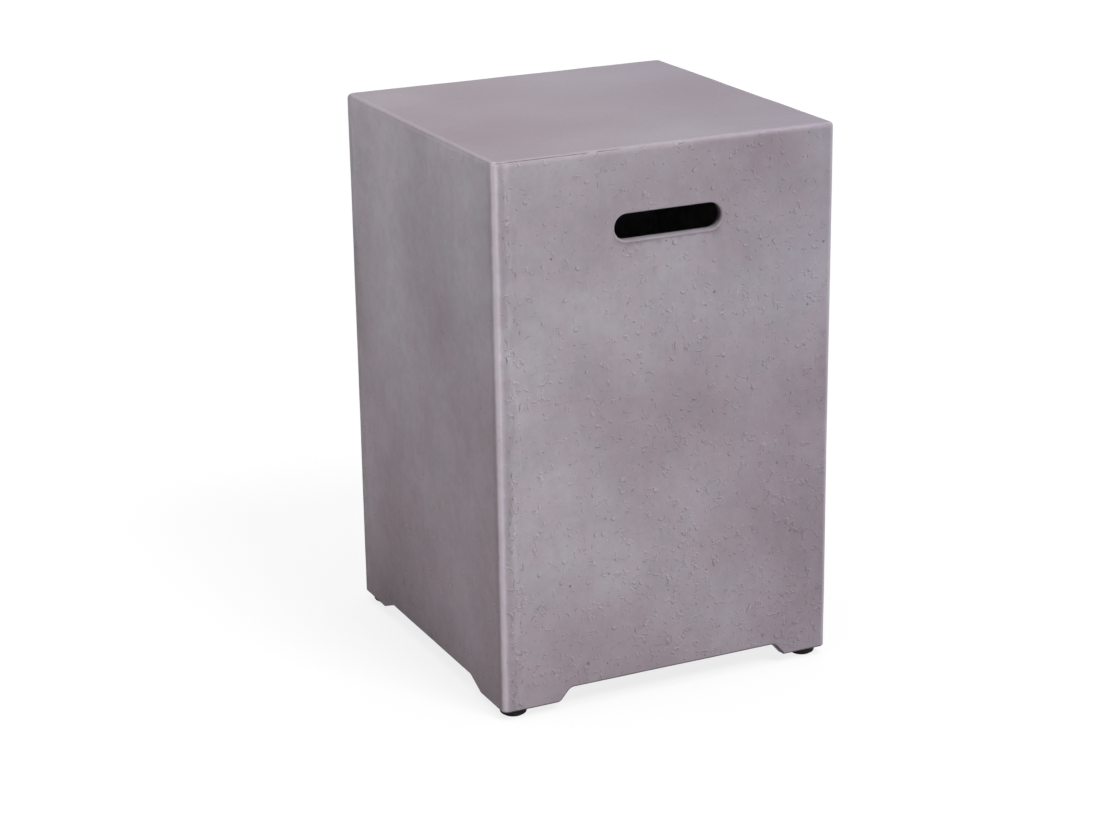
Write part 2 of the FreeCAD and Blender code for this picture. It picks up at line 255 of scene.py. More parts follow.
@dataclass
class SurfaceBuilder:
    """Points that patches share, and the faces between them.

    Attributes:
        points: The place of each vertex.
        marks: What the finishes read at each vertex.
        faces: The vertex numbers of each face.
        finishes: The material slot of each face.
    """

    points: list[Point] = field(default_factory=list)
    marks: list[Mark] = field(default_factory=list)
    faces: list[tuple[int, ...]] = field(default_factory=list)
    finishes: list[int] = field(default_factory=list)

    def add(self, place: Sequence[float], mark: Mark = PLAIN) -> int:
        """Adds a vertex.

        Args:
            place: Where it lies.
            mark: What the finishes read there.

        Returns:
            Its number.
        """
        self.points.append(tuple(place))
        self.marks.append(mark)
        return len(self.points) - 1

    def strip(self, rows: Sequence[Sequence[int]], finish: Finish) -> None:
        """Joins successive rows of vertices with quads.

        Args:
            rows: Rows of vertex numbers, all of one length.
            finish: The faces' material slot.
        """
        for lower, upper in zip(rows, rows[1:]):
            for i in range(len(lower) - 1):
                self.faces.append((lower[i], lower[i + 1], upper[i + 1], upper[i]))
                self.finishes.append(finish.value)

    def band(self, rows: Sequence[list[int]], finish: Finish) -> None:
        """Joins successive closed rows of vertices with quads."""
        self.strip([row + row[:1] for row in rows], finish)

    def sheet(
        self,
        loops: Sequence[Sequence[int]],
        loose: Sequence[int],
        flat: Places,
        finish: Finish,
        lines: Pairs = (),
    ) -> None:
        """Fills an outline with triangles through loose vertices.

        Args:
            loops: The outline, and then the holes in it, as vertex numbers.
            loose: The vertices inside.
            flat: Each vertex's place in the sheet's own plane.
            finish: The faces' material slot.
            lines: Pairs of vertices that an edge has to join.
        """
        ids = [i for loop in loops for i in loop] + list(loose)
        order = {vertex: index for index, vertex in enumerate(ids)}
        edges = [(order[a], order[b]) for a, b in lines]
        for loop in loops:
            ends = list(loop[1:]) + [loop[0]]
            edges.extend((order[a], order[b]) for a, b in zip(loop, ends))
        spots = [Vector(flat[i]) / MM for i in ids]
        _, _, triangles, origins, _, _ = delaunay_2d_cdt(spots, edges, [], 0, SAME_SPOT)
        corners = np.array([[ids[origins[i][0]] for i in face] for face in triangles])
        places = np.array([[flat[i] for i in face] for face in corners])
        middles = places.mean(1)
        kept = inside_loop(middles, np.array([flat[i] for i in loops[0]]))
        for hole in loops[1:]:
            kept &= ~inside_loop(middles, np.array([flat[i] for i in hole]))
        for face in corners[kept]:
            self.faces.append(tuple(int(i) for i in face))
            self.finishes.append(finish.value)

    def to_object(self, name: str, materials: Sequence[bpy.types.Material]) -> bpy.types.Object:
        """Makes the mesh object.

        Args:
            name: The object's name.
            materials: One for each material slot.

        Returns:
            The object, linked to the scene.
        """
        mesh = bpy.data.meshes.new(name)
        mesh.from_pydata(self.points, [], self.faces)
        mesh.polygons.foreach_set("material_index", self.finishes)
        for mark in fields(Mark):
            values = [getattr(m, mark.name) for m in self.marks]
            mesh.attributes.new(mark.name, "FLOAT", "POINT").data.foreach_set("value", values)
        for material in materials:
            mesh.materials.append(material)
        mesh.validate()
        shaped = bmesh.new()
        shaped.from_mesh(mesh)
        bmesh.ops.recalc_face_normals(shaped, faces=shaped.faces)
        shaped.to_mesh(mesh)
        shaped.free()
        mesh.shade_smooth()
        return link(name, mesh)


def link(name: str, mesh: bpy.types.Mesh) -> bpy.types.Object:
    """An object of a mesh, linked to the scene."""
    made = bpy.data.objects.new(name, mesh)
    bpy.context.scene.collection.objects.link(made)
    return made


@dataclass(frozen=True)
class Fleck:
    """A small flaw in the cast face: a raised drop or a pinhole, steeper on one side.

    Attributes:
        along: Its middle's distance along the face.
        height: Its middle's height on the face.
        length: Half its length.
        width: Half its width.
        turn: The angle of its length, in radians.
        bend: How far its ends curve aside, as a share of its length.
        rise: How far it stands out, or below 0 how deep it is.
        steep: The angle of its steeper side, in radians.
        wobble: How the reach of each of its rim's points differs, as shares.
    """

    along: float
    height: float
    length: float
    width: float
    turn: float
    bend: float
    rise: float
    steep: float
    wobble: tuple[float, ...]

    RINGS = ((0.4, 1.0), (0.75, 0.75), (1.0, 0.0), (1.35, 0.0))
    REACH = 1.35
    SHIFT = 0.5
    LEAST_PAINTED_SHADE = 0.1

    def beads(self) -> list[tuple[float, float, float]]:
        """Circles that cover the fleck: the place and the radius of each.

        Returns:
            The circles.
        """
        size = self.width * self.REACH * (1 + max(self.wobble))
        reach = self.length * self.REACH
        count = max(1, ceil(self.length / self.width))
        found = []
        for i in range(count):
            x = reach * ((2 * i + 1) / count - 1)
            found.append((*self.turned(x, 0.0), max(size, reach / count)))
        return found

    def turned(self, x: float, y: float) -> Flat:
        """The place on the face of a spot along and across the fleck."""
        y += self.bend * x * x / self.length
        c, s = cos(self.turn), sin(self.turn)
        return self.along + x * c - y * s, self.height + x * s + y * c

    def rows(self) -> list[list[tuple[Flat, float, float]]]:
        """The fleck's vertices, in rows that edges join.

        Returns:
            For each vertex, a place on the face, a share of the rise and how much painted shade
            lies there, on the side away from the light.
        """
        steep = Vector((cos(self.steep), sin(self.steep)))
        found = [[(self.spot(0, 0, 0, steep), 1.0, 0.0)]]
        for share, rise in self.RINGS:
            row = []
            for i, more in enumerate(self.wobble):
                angle = tau * i / len(self.wobble)
                grime = 0.0
                # The rim's steeper side, away from the light, gets painted shade.
                if share == 1.0 and self.rise > 0:
                    away = Vector((cos(angle) / self.length, sin(angle) / self.width))
                    away = Matrix.Rotation(self.turn, 2) @ away.normalized()
                    facing = (1 - self.LEAST_PAINTED_SHADE) * away.dot(steep)
                    grime = max(0.0, self.LEAST_PAINTED_SHADE + facing)
                row.append((self.spot(share, angle, more, steep), rise, grime))
            found.append(row + row[:1])
        return found

    def spot(self, share: float, angle: float, more: float, steep: Vector) -> Flat:
        """A place on one of the rings.

        Args:
            share: The ring's share of the fleck's reach.
            angle: The angle round the ring.
            more: How much further out the ring lies here, as a share.
            steep: The way to the steeper side.

        Returns:
            The place on the face.
        """
        held = max(0.0, 1 - share) * self.SHIFT * self.width
        x = self.length * share * (1 + more) * cos(angle)
        y = self.width * share * (1 + more) * sin(angle)
        across, up = self.turned(x, y)
        return across + held * steep.x, up + held * steep.y


@dataclass(frozen=True)
class Wrinkle(Fleck):
    """A thin raised or sunk line in the cast face, steeper on one side."""

    PROFILE = ((-1.8, 0.0), (-1.0, 0.0), (-0.3, 0.8), (0.25, 1.0), (1.0, 0.0), (1.7, 0.0))
    REACH = 1.12
    BEAD_GAP = 1.3
    BEAD_SIZE = 2.35
    END_FULLNESS = 1.04
    LEAST_WIDTH = 0.2
    WANDER = 0.8

    def beads(self) -> list[tuple[float, float, float]]:
        """Circles that cover the wrinkle: the place and the radius of each.

        Returns:
            The circles.
        """
        run = self.length * (1 + abs(self.bend))
        count = max(2, ceil(run / (self.BEAD_GAP * self.width)))
        reach = self.length * self.REACH
        size = self.BEAD_SIZE * self.width
        return [(*self.turned(reach * (2 * i / (count - 1) - 1), 0.0), size) for i in range(count)]

    def rows(self) -> list[list[tuple[Flat, float, float]]]:
        """The wrinkle's vertices, in rows that edges join.

        Returns:
            For each vertex its place, its share of the rise and its painted shade, on the steeper
            side.
        """
        facing = cos(self.turn + pi / 2 - self.steep)
        way = 1 if facing > 0 else -1
        last = len(self.wobble) - 1
        found = []
        for across, share in self.PROFILE:
            row = []
            for i, more in enumerate(self.wobble):
                t = 2 * i / last - 1
                thick = self.width * sqrt(self.END_FULLNESS - t * t) * (1 + more)
                thick = max(thick, self.LEAST_WIDTH * self.width)
                aside = self.WANDER * self.width * self.wobble[last - i]
                spot = self.turned(t * self.length, way * across * thick + aside)
                # The wrinkle's steeper side, away from the light, gets painted shade.
                grime = abs(facing) if across == 1.0 and self.rise > 0 else 0.0
                row.append((spot, share * (1 - t**4), grime * (1 - t**4)))
            found.append(row)
        return found


@dataclass(frozen=True)
class FleckField:
    """How flaws are scattered over one face.

    Attributes:
        count: How many there are.
        seed: Which scatter.
        sink: The share of them that keep to the lower right.
        edge: The share of them that keep to the left edge, dragged upright.
        rise: How far the highest stands out.
        longest: Half the length of the longest drop.
        strokes: The share of them that are long and thin.
        holes: The share of them that are pinholes.
    """

    count: int
    seed: int
    sink: float = 0.0
    edge: float = 0.0
    rise: float = 0.62 * MM
    longest: float = 3.3 * MM
    strokes: float = 0.5
    holes: float = 0.13

    TRIES = 60
    EDGE_STRIP = 0.05
    STEEP_ANGLE = (radians(235), 0.5)
    WOBBLE = 0.17
    SINK_POWERS = (1.8, 0.75)
    LEAST_SIZES = (0.42, 0.55)
    DROP_WIDTHS = (0.55, 0.9)
    DROP_BEND = 0.2
    DROP_POINTS, STROKE_POINTS = 9, 7
    STROKE_LENGTHS = (0.9, 1.9)
    STROKE_WIDTHS = (0.65, 1.15)
    STROKE_TURN = (0.3, 0.8)
    STROKE_BEND = 0.7
    DRAGGED_TURN = (pi / 2, 0.2)
    DRAGGED_BEND = 0.15
    DRAGGED_LENGTHS = (0.8, 1.6)
    DRAGGED_RISES = (-0.7, 0.9)
    HOLE_SIZE, HOLE_DEPTH = 0.35, 0.8

    def scatter(self, low: Flat, high: Flat, clear: Callable[[Flat, float], bool]) -> list[Fleck]:
        """Draws the flaws of a face.

        Args:
            low: The face's lower left corner.
            high: Its upper right corner.
            clear: Whether a flaw of some reach fits at a place.

        Returns:
            The flaws, none of which touch.
        """
        draw = random.Random(self.seed)
        flecks: list[Fleck] = []
        taken = np.empty((0, 3))
        for _ in range(self.count * self.TRIES):
            if len(flecks) == self.count:
                break
            fleck = self.one(draw, low, high)
            beads = np.array(fleck.beads())
            if not all(clear((x, y), reach) for x, y, reach in beads):
                continue
            gaps = np.hypot(beads[:, None, 0] - taken[:, 0], beads[:, None, 1] - taken[:, 1])
            if (gaps < beads[:, None, 2] + taken[:, 2]).any():
                continue
            flecks.append(fleck)
            taken = np.concatenate([taken, beads])
        return flecks

    def one(self, draw: random.Random, low: Flat, high: Flat) -> Fleck:
        """Draws one flaw.

        Args:
            draw: Where the random numbers come from.
            low: The face's lower left corner.
            high: Its upper right corner.

        Returns:
            The flaw.
        """
        across, up = draw.random(), draw.random()
        if draw.random() < self.sink:
            up, across = up ** self.SINK_POWERS[0], across ** self.SINK_POWERS[1]
        size = draw.random() ** 1.4
        least_length, least_rise = self.LEAST_SIZES
        length = self.longest * (least_length + (1 - least_length) * size)
        width = length * draw.uniform(*self.DROP_WIDTHS)
        rise = self.rise * (least_rise + (1 - least_rise) * size)
        turn = draw.uniform(0, tau)
        bend = draw.uniform(-self.DROP_BEND, self.DROP_BEND)
        kind, points = Fleck, self.DROP_POINTS
        dragged = draw.random() < self.edge
        if dragged or draw.random() < self.strokes:
            kind, points = Wrinkle, self.STROKE_POINTS
            length *= draw.uniform(*self.STROKE_LENGTHS)
            width = draw.uniform(*self.STROKE_WIDTHS) * MM
            turn = draw.gauss(*self.STROKE_TURN)
            bend = draw.uniform(-self.STROKE_BEND, self.STROKE_BEND)
        if dragged:
            across = self.EDGE_STRIP * draw.random() ** 1.1
            turn = draw.gauss(*self.DRAGGED_TURN)
            bend = draw.uniform(-self.DRAGGED_BEND, self.DRAGGED_BEND)
            length *= draw.uniform(*self.DRAGGED_LENGTHS)
            rise *= draw.uniform(*self.DRAGGED_RISES)
        elif draw.random() < self.holes:
            kind, points = Fleck, self.DROP_POINTS
            rise = -self.HOLE_DEPTH * rise
            length *= self.HOLE_SIZE
            width = length
        steep = draw.gauss(*self.STEEP_ANGLE)
        wobble = tuple(draw.uniform(-self.WOBBLE, self.WOBBLE) for _ in range(points))
        along = low[0] + across * (high[0] - low[0])
        height = low[1] + up * (high[1] - low[1])
        return kind(along, height, length, width, turn, bend, rise, steep, wobble)


@dataclass(frozen=True)
class ToneField:
    """How the cement's tone clouds over one face, with a painted light falloff along and up it.

    Attributes:
        painted_falloff: How much paler the face gets for each metre along and up it, as painted
            light falloff.
        clouds: The seed and the strength of each layer of clouds.
        stretch: How much taller than wide the clouds are.
    """

    painted_falloff: Flat
    clouds: tuple[Flat, ...]
    stretch: float = 1.0

    SIZES = (0.17, 0.11, 0.075, 0.17, 0.05)

    def at(self, along: float, up: float) -> float:
        """The tone at a place on the face, as a logarithm."""
        falloff_tone = self.painted_falloff[0] * along + self.painted_falloff[1] * up
        layers = [(size, *cloud) for size, cloud in zip(self.SIZES, self.clouds)]
        return falloff_tone + layered((along, up / self.stretch, 0.0), layers)


@dataclass(frozen=True)
class Relief:
    """The shallow relief between the feet, along the bottom of a wall.

    Attributes:
        start: Where it starts at the bottom, along the wall.
        end: Where it ends there.
        crest: The height of its flat top.
        slope: How far its ends run in on the way up.
        toe_radii: How round the wall's own corners are at its start and end.
        crown_radius: How round the relief's upper corners are.
    """

    start: float
    end: float
    crest: float
    slope: float
    toe_radii: Flat = (5 * MM, 5 * MM)
    crown_radius: float = 10 * MM

    def path(self, reach: float, foot: float, step: float) -> list[Flat]:
        """The wall's lower edge, relief included.

        Args:
            reach: How far the edge runs each way from the wall's middle.
            foot: The height of the edge beside the relief.
            step: The longest piece of a straight run.

        Returns:
            Places along and up the wall.
        """
        corners = [
            (-reach, foot),
            (self.start, foot),
            (self.start + self.slope, self.crest),
            (self.end - self.slope, self.crest),
            (self.end, foot),
            (reach, foot),
        ]
        first, last = self.toe_radii
        radii = [0, first, self.crown_radius, self.crown_radius, last, 0]
        return rounded_path(corners, radii, step)


@dataclass(frozen=True)
class HandSlot:
    """A hand slot with half-round ends.

    Attributes:
        length: Its length.
        height: Its height.
        middle: The height of its middle.
        rim: The radius of its outer rim.
        back_rim: The radius of its inner rim.
    """

    length: float
    height: float
    middle: float
    rim: float
    back_rim: float

    ROUND_PARTS = 14
    DEPTHS = (4.2 * MM, 6 * MM, 8 * MM)

    def path(self, step: float) -> list[Flat]:
        """The slot's outline, counter-clockwise from the lower left.

        Args:
            step: How far apart its points lie at most.

        Returns:
            The points, along and up the wall.
        """
        radius = self.height / 2
        reach = self.length / 2 - radius
        run = spread(-reach, reach, step)
        path = [(x, self.middle - radius) for x in run[:-1]]
        for side, first in ((1, -QUARTER), (-1, QUARTER)):
            for i in range(self.ROUND_PARTS):
                angle = first + pi * i / self.ROUND_PARTS
                x = side * reach + radius * cos(angle)
                path.append((x, self.middle + radius * sin(angle)))
            if side == 1:
                path.extend((x, self.middle + radius) for x in reversed(run[1:]))
        return path

    def section(self, wall: float, parts: int) -> list[tuple[float, float, float, float]]:
        """The section of the way through a wall, from the outside in.

        Args:
            wall: How thick the wall is.
            parts: How many steps take the outer rim round its quarter turn.

        Returns:
            How far back and how far beside the slot each of its places lies, and how much it
            faces outwards and into the slot.
        """
        turns = [(cos(angle), sin(angle)) for angle in even(0, QUARTER, parts)]
        rows = [(self.rim * (1 - c), self.rim * (1 - s), c, s) for c, s in turns]
        rows += [(depth, 0, 0, 1) for depth in self.DEPTHS]
        for c, s in turns[::2]:
            rows.append((wall - self.back_rim * (1 - s), self.back_rim * (1 - c), -s, c))
        return rows + [(wall, self.back_rim, -1, 0)]

    def clear(self, spot: Flat, reach: float) -> bool:
        """Whether something of a given reach stays off the slot and its rim."""
        radius = self.height / 2
        beside = max(0.0, abs(spot[0]) - (self.length / 2 - radius))
        return hypot(beside, spot[1] - self.middle) > radius + self.rim + reach


@dataclass(frozen=True)
class Station:
    """A place round the foot of the casting.

    Attributes:
        outer: Its X and Y on the outer wall, and the way out there.
        inner: The same for the cavity's wall.
        foot: The height of the underside.
        run: The direction along the wall.
        lean: The underside's normal, into the concrete, along and up the wall.
    """

    outer: tuple[Flat, Flat]
    inner: tuple[Flat, Flat]
    foot: float
    run: Flat = (0, 0)
    lean: Flat = (0, 1)

    def edge(self, finish: Finish) -> tuple[Flat, Flat]:
        """The X and Y and the way out, on the outer wall or the cavity's."""
        return self.outer if finish is Finish.OUTSIDE else self.inner

    def tilted(self, out: Flat, across: float, up: float) -> Point:
        """A direction made of the way across the wall and the underside's own normal.

        Args:
            out: The way across, in X and Y.
            across: How much of it.
            up: How much of the underside's normal.

        Returns:
            The direction.
        """
        lean, rise = self.lean
        run = (self.run[0] * lean * up, self.run[1] * lean * up)
        return (out[0] * across + run[0], out[1] * across + run[1], rise * up)


def turned_in(
    spot: Flat, out: Flat, height: float, radius: float, angle: float
) -> tuple[Point, Point]:
    """A place on a rounding between a wall and a level face above it.

    Args:
        spot: The wall's X and Y.
        out: Its normal, away from the cover's axis.
        height: The level face's height.
        radius: The rounding's radius.
        angle: 0 on the wall, a right angle on the level face.

    Returns:
        The place, and the normal there, upwards and away from the cover's axis.
    """
    across, up = cos(angle), sin(angle)
    inwards = radius * (1 - across)
    place = (spot[0] - out[0] * inwards, spot[1] - out[1] * inwards, height - radius * (1 - up))
    return place, (out[0] * across, out[1] * across, up)


@dataclass
class CastShell:
    """The one-piece casting: four walls and a top, open below.

    Attributes:
        half: Half its width and depth.
        top: The height of its top.
        foot: The height of its underside.
        wall: How thick its walls are.
        roof: How thick its top is.
        corner: The radius of its upright corners.
        bottom_edge: The radius of its bottom edge.
        cavity_corner: The radius of the cavity's upright corners.
        cavity_roof: The radius where the cavity's walls meet its roof.
        inner_edge: The radius of the cavity's bottom edge.
        edge_radii: The top edge's radius at each corner, from the front left round.
        slot: The hand slot of the front and the back.
        made: Where the points and faces go.
        stations: The stations round the foot, counter-clockwise from the front.
        walls: The first and last station of each wall.
        slot_backs: The vertices of each slot's inner rim, with their places on the wall.
    """

    half: float
    top: float
    foot: float
    wall: float
    roof: float = 15 * MM
    corner: float = 8 * MM
    bottom_edge: float = 3 * MM
    cavity_corner: float = 6 * MM
    cavity_roof: float = 5 * MM
    inner_edge: float = 0.8 * MM
    edge_radii: tuple[float, ...] = (3.6 * MM, 5.0 * MM, 5.5 * MM, 6.3 * MM)
    slot: HandSlot = HandSlot(129 * MM, 29 * MM, 540.6 * MM, 2.7 * MM, 1.5 * MM)
    made: SurfaceBuilder = field(default_factory=SurfaceBuilder)
    stations: list[Station] = field(default_factory=list)
    walls: Pairs = field(default_factory=list)
    slot_backs: dict[Side, Places] = field(default_factory=dict)

    RELIEFS = {
        Side.FRONT: Relief(-135 * MM, 149 * MM, 24 * MM, 13 * MM, (9 * MM, 3 * MM)),
        Side.RIGHT: Relief(-141 * MM, 142 * MM, 21 * MM, 28 * MM),
        Side.BACK: Relief(-149 * MM, 135 * MM, 24 * MM, 13 * MM),
        Side.LEFT: Relief(-142 * MM, 141 * MM, 21 * MM, 28 * MM),
    }
    FLECKS = {
        Side.FRONT: FleckField(760, 11, sink=0.5, edge=0.22),
        Side.RIGHT: FleckField(150, 23, sink=0.5, edge=0.2, rise=0.4 * MM),
        Side.BACK: FleckField(240, 37, sink=0.5, edge=0.2),
        Side.LEFT: FleckField(120, 53, sink=0.5, rise=0.3 * MM, longest=2.2 * MM),
    }
    SLOTTED = (Side.FRONT, Side.BACK)
    TOP_FLECKS = FleckField(46, 71, rise=0.12 * MM, longest=1.3 * MM, holes=0.5)
    FRONT_CLOUDS = ((41.3, 0.19), (42.6, 0.11), (43.9, 0.06), (45.2, 0.1), (46.5, 0.05))
    LEFT_CLOUDS = ((51.3, 0.16), (52.6, 0.15), (53.9, 0.07), (55.2, 0.12), (56.5, 0.05))
    TOP_CLOUDS = ((31.3, 0.1), (32.6, 0.05), (33.9, 0.02), (35.2, 0.03), (36.5, 0.03))
    # Each face's first pair is a painted light falloff along and up it; the clouds are the cement's
    # own.
    TONES = {
        Side.FRONT: ToneField((-0.5, 0.35), FRONT_CLOUDS),
        Side.RIGHT: ToneField((-0.1, 0.5), ((61.0, 0.13), (62.0, 0.09)), 1.6),
        Side.BACK: ToneField((-0.2, 0.3), ((71.0, 0.16), (72.0, 0.1))),
        Side.LEFT: ToneField((-0.2, 0.8), LEFT_CLOUDS, 1.6),
    }
    TOP_TONE = ToneField((-0.07, 0.01), TOP_CLOUDS)

    STEP = 5.5 * MM
    LEVEL_STEP = 4 * MM
    GRID = 9 * MM
    ROUGH_GRID = 12 * MM
    JITTER = 0.3
    CORNER_PARTS = 8
    SIDE_PARTS = 2
    ZONE_PARTS = CORNER_PARTS + 2 * SIDE_PARTS
    FILLET_PARTS = 5
    CAVITY_PARTS = 3
    MARGIN = 1.0 * MM
    TOP_MARGIN = 1.3
    INSET, LEAST_INSET = 0.62 * MM, 0.02 * MM
    WEAR = ((0.15, 3.1, 0.3 * MM), (0.05, 7.7, 0.13 * MM), (0.017, 5.3, 0.05 * MM))
    ROUGHNESS = ((0.045, 17.0, 0.5 * MM), (0.02, 19.0, 0.35 * MM))
    EDGE_WAVES = ((0.05, 29.0, 0.18),)
    FACING_LEAST = 1e-4
    DRAG_STARTS, DRAG_ENDS = (-0.174, -0.19), (-0.192, -0.2)
    SHADE_TURN, SIDE_SHADE = 0.35, 0.25
    SEAM_ROW = 3
    SEAM_DEPTH = 0.36 * MM
    SEAM_ENDS = (-0.05, -0.5)
    SEAM_LUMPS, SEAM_SEED = 0.012, 43.0
    SEAM_BREAKS = (-0.35, 0.0)
    SLOT_FLARE = 0.6 * MM
    LIT_DEPTH, LIT_SILL = 0.9 * MM, 5.5 * MM
    LIT_FADE = 1.2 * MM
    CREASE_DEPTH, CREASE_SHADE = 0.25 * MM, 0.7

    def build(self) -> SurfaceBuilder:
        """Builds the whole closed surface.

        Returns:
            The surface.
        """
        self.lay_out()
        under = self.underside()
        crown = self.crown_ring()
        crown_rows = self.crown_rows(crown)
        self.outer_walls(under[0], crown, crown_rows[0])
        self.table_top(crown_rows[-1])
        self.cavity(under[-1])
        return self.made

    @property
    def straight(self) -> float:
        """Half the length of a wall's flat part."""
        return self.half - self.corner

    @property
    def inner_half(self) -> float:
        """Half the cavity's width."""
        return self.half - self.wall

    @property
    def inner_straight(self) -> float:
        """Half the length of the flat part of the cavity's wall."""
        return self.inner_half - self.cavity_corner

    def skin(self, place: Point, normal: Point, flaw: Point = (0.0, 0.0, 0.0)) -> int:
        """Adds a vertex of the outside, further in than the ideal, as a hand has finished it.

        Args:
            place: The ideal point.
            normal: The way out there.
            flaw: How far it stands out on a flaw, its share of the rise, from which the material
                paints a highlight or shade, and its painted shade.

        Returns:
            The vertex's number.
        """
        rise, relief, grime = flaw
        x, y, z = place
        tone = drag = total = square = 0.0
        for side in Side:
            out = side.turned(0, 1)
            weight = max(0.0, out[0] * normal[0] + out[1] * normal[1]) ** 2
            if weight < self.FACING_LEAST:
                continue
            run = side.turned(1, 0)
            along = x * run[0] + y * run[1]
            dragged = smooth(along, *self.DRAG_STARTS) * (1 - smooth(along, *self.DRAG_ENDS))
            tone += weight * self.TONES[side].at(along, z - self.top / 2)
            drag += weight * dragged
            total += weight
            square += weight * weight
        flat = max(0.0, 1 - total)
        tone += flat * self.TOP_TONE.at(x, y)
        on_arris = min(1.0, 2 * (1 - square - flat * flat))
        mark = Mark(relief, grime, tone * (1 - on_arris), min(1.0, drag))
        inset = max(self.LEAST_INSET, self.INSET + layered(place, self.WEAR) - rise)
        return self.made.add([a - inset * b for a, b in zip(place, normal)], mark)

    def rough(self, place: Point, outward: Point) -> int:
        """Adds a vertex of the cavity, which nobody smoothed, by the way out of it."""
        lump = layered(place, self.ROUGHNESS)
        return self.made.add([a - lump * b for a, b in zip(place, outward)])

    def put(self, finish: Finish, place: Point, out: Point, *flaw: Point) -> int:
        """Adds a vertex of the outside or of the cavity."""
        return self.skin(place, out, *flaw) if finish is Finish.OUTSIDE else self.rough(place, out)

    def on_wall(self, side: Side, finish: Finish, spot: Flat, *flaw: Point) -> int:
        """Adds a vertex of a wall, by its place along and up it."""
        half = self.half if finish is Finish.OUTSIDE else self.inner_half
        place = (*side.turned(spot[0], half), spot[1])
        return self.put(finish, place, (*side.turned(0, 1), 0), *flaw)

    def on_level(self, height: float, finish: Finish, spot: Flat, *flaw: Point) -> int:
        """Adds a vertex of a level face."""
        return self.put(finish, (*spot, height), (0, 0, 1), *flaw)

    def lower_path(self, side: Side) -> list[Flat]:
        """The lower edge of a wall, between the zones that turn round the corners."""
        return self.RELIEFS[side].path(self.inner_straight, self.foot, self.STEP)

    def lower_edge(self, side: Side, radius: float) -> list[Flat]:
        """A wall's boundary above its lower edge, which is rounded by a radius.

        Args:
            side: The wall.
            radius: The radius.

        Returns:
            The places along and up it.
        """
        path = self.lower_path(side)
        return [
            (along + lean * radius, foot + rise * radius)
            for (along, foot), (lean, rise) in zip(path, left_normals(path))
        ]

    def lay_out(self) -> None:
        """Lays out the stations round the foot."""
        for side in Side:
            path = self.lower_path(side)
            run, out = side.turned(1, 0), side.turned(0, 1)
            first = len(self.stations)
            for (along, foot), lean in zip(path, left_normals(path)):
                outer = (side.turned(along, self.half), out)
                inner = (side.turned(along, self.inner_half), out)
                self.stations.append(Station(outer, inner, foot, run, lean))
            self.walls.append((first, len(self.stations) - 1))
            self.stations += self.corner_stations(side)

    def corner_stations(self, side: Side) -> list[Station]:
        """The stations between one wall's own ones and the next wall's.

        Args:
            side: The first of the walls.

        Returns:
            The stations.
        """
        gap = (self.straight - self.inner_straight) / self.SIDE_PARTS
        found = []
        for part in range(1, self.ZONE_PARTS):
            turn = (part - self.SIDE_PARTS) / self.CORNER_PARTS
            angle = QUARTER * min(1.0, max(0.0, turn))
            before = min(part, self.SIDE_PARTS)
            after = max(0, part - self.SIDE_PARTS - self.CORNER_PARTS)
            along = self.inner_straight + before * gap + self.corner * sin(angle)
            outward = self.straight - after * gap + self.corner * cos(angle)
            outer = side.turned(along, outward)
            out = side.turned(sin(angle), cos(angle))
            inner_angle = QUARTER * part / self.ZONE_PARTS
            swing = (sin(inner_angle), cos(inner_angle))
            inner = side.turned(*(self.inner_straight + self.cavity_corner * a for a in swing))
            found.append(Station((outer, out), (inner, side.turned(*swing)), self.foot))
        return found

    def underside(self) -> list[list[int]]:
        """Builds the bottom edge, the underside and the cavity's bottom edge.

        Returns:
            Rows of vertices from the outer wall to the cavity's wall.
        """
        rows: list[list[int]] = []
        for angle in even(0, QUARTER, self.FILLET_PARTS):
            rows.append([self.edge_point(s, angle, Finish.OUTSIDE) for s in self.stations])
        middle = []
        for s in self.stations:
            x, y = ((a + b) / 2 for a, b in zip(s.outer[0], s.inner[0]))
            middle.append(self.skin((x, y, s.foot), s.tilted((0, 0), 0, -1)))
        rows.append(middle)
        for angle in (QUARTER, QUARTER / 2, 0.0):
            rows.append([self.edge_point(s, angle, Finish.INSIDE) for s in self.stations])
        self.made.band(rows, Finish.OUTSIDE)
        return rows

    def edge_point(self, station: Station, angle: float, finish: Finish) -> int:
        """A vertex on the rounding of the bottom edge.

        Args:
            station: Where round the foot.
            angle: 0 on the wall, a right angle on the underside.
            finish: Whether this is the outer edge or the cavity's.

        Returns:
            The vertex's number.
        """
        outside = finish is Finish.OUTSIDE
        way, radius = (1, self.bottom_edge) if outside else (-1, self.inner_edge)
        base, out = station.edge(finish)
        inwards = station.tilted(out, -way * radius * (1 - cos(angle)), 0)
        upwards = station.tilted(out, 0, radius * (1 - sin(angle)))
        place = tuple(a + b + c for a, b, c in zip((*base, station.foot), inwards, upwards))
        if outside:
            normal = station.tilted(out, cos(angle), -sin(angle))
            # The rounding that turns under gets a painted shade line, stronger on the front and
            # back walls.
            shade = self.SIDE_SHADE + (1 - self.SIDE_SHADE) * abs(out[1])
            low = smooth(angle, 0.0, self.SHADE_TURN) * shade
            return self.skin(place, normal, (0.0, -low, low))
        return self.rough(place, station.tilted(out, cos(angle), sin(angle)))

    def edge_radius(self, side: Side, along: float) -> float:
        """The top edge's radius at a place along a wall.

        Args:
            side: The wall.
            along: How far along it.

        Returns:
            The radius.
        """
        first = self.edge_radii[side.value]
        last = self.edge_radii[(side.value + 1) % len(Side)]
        share = smooth(along, -self.straight, self.straight)
        place = (*side.turned(along, self.half), self.top)
        return (first + (last - first) * share) * (1 + layered(place, self.EDGE_WAVES))

    def crest(self, side: Side, along: float) -> float:
        """The height of an outer wall's upper boundary at a place along it."""
        return self.top - self.edge_radius(side, along)

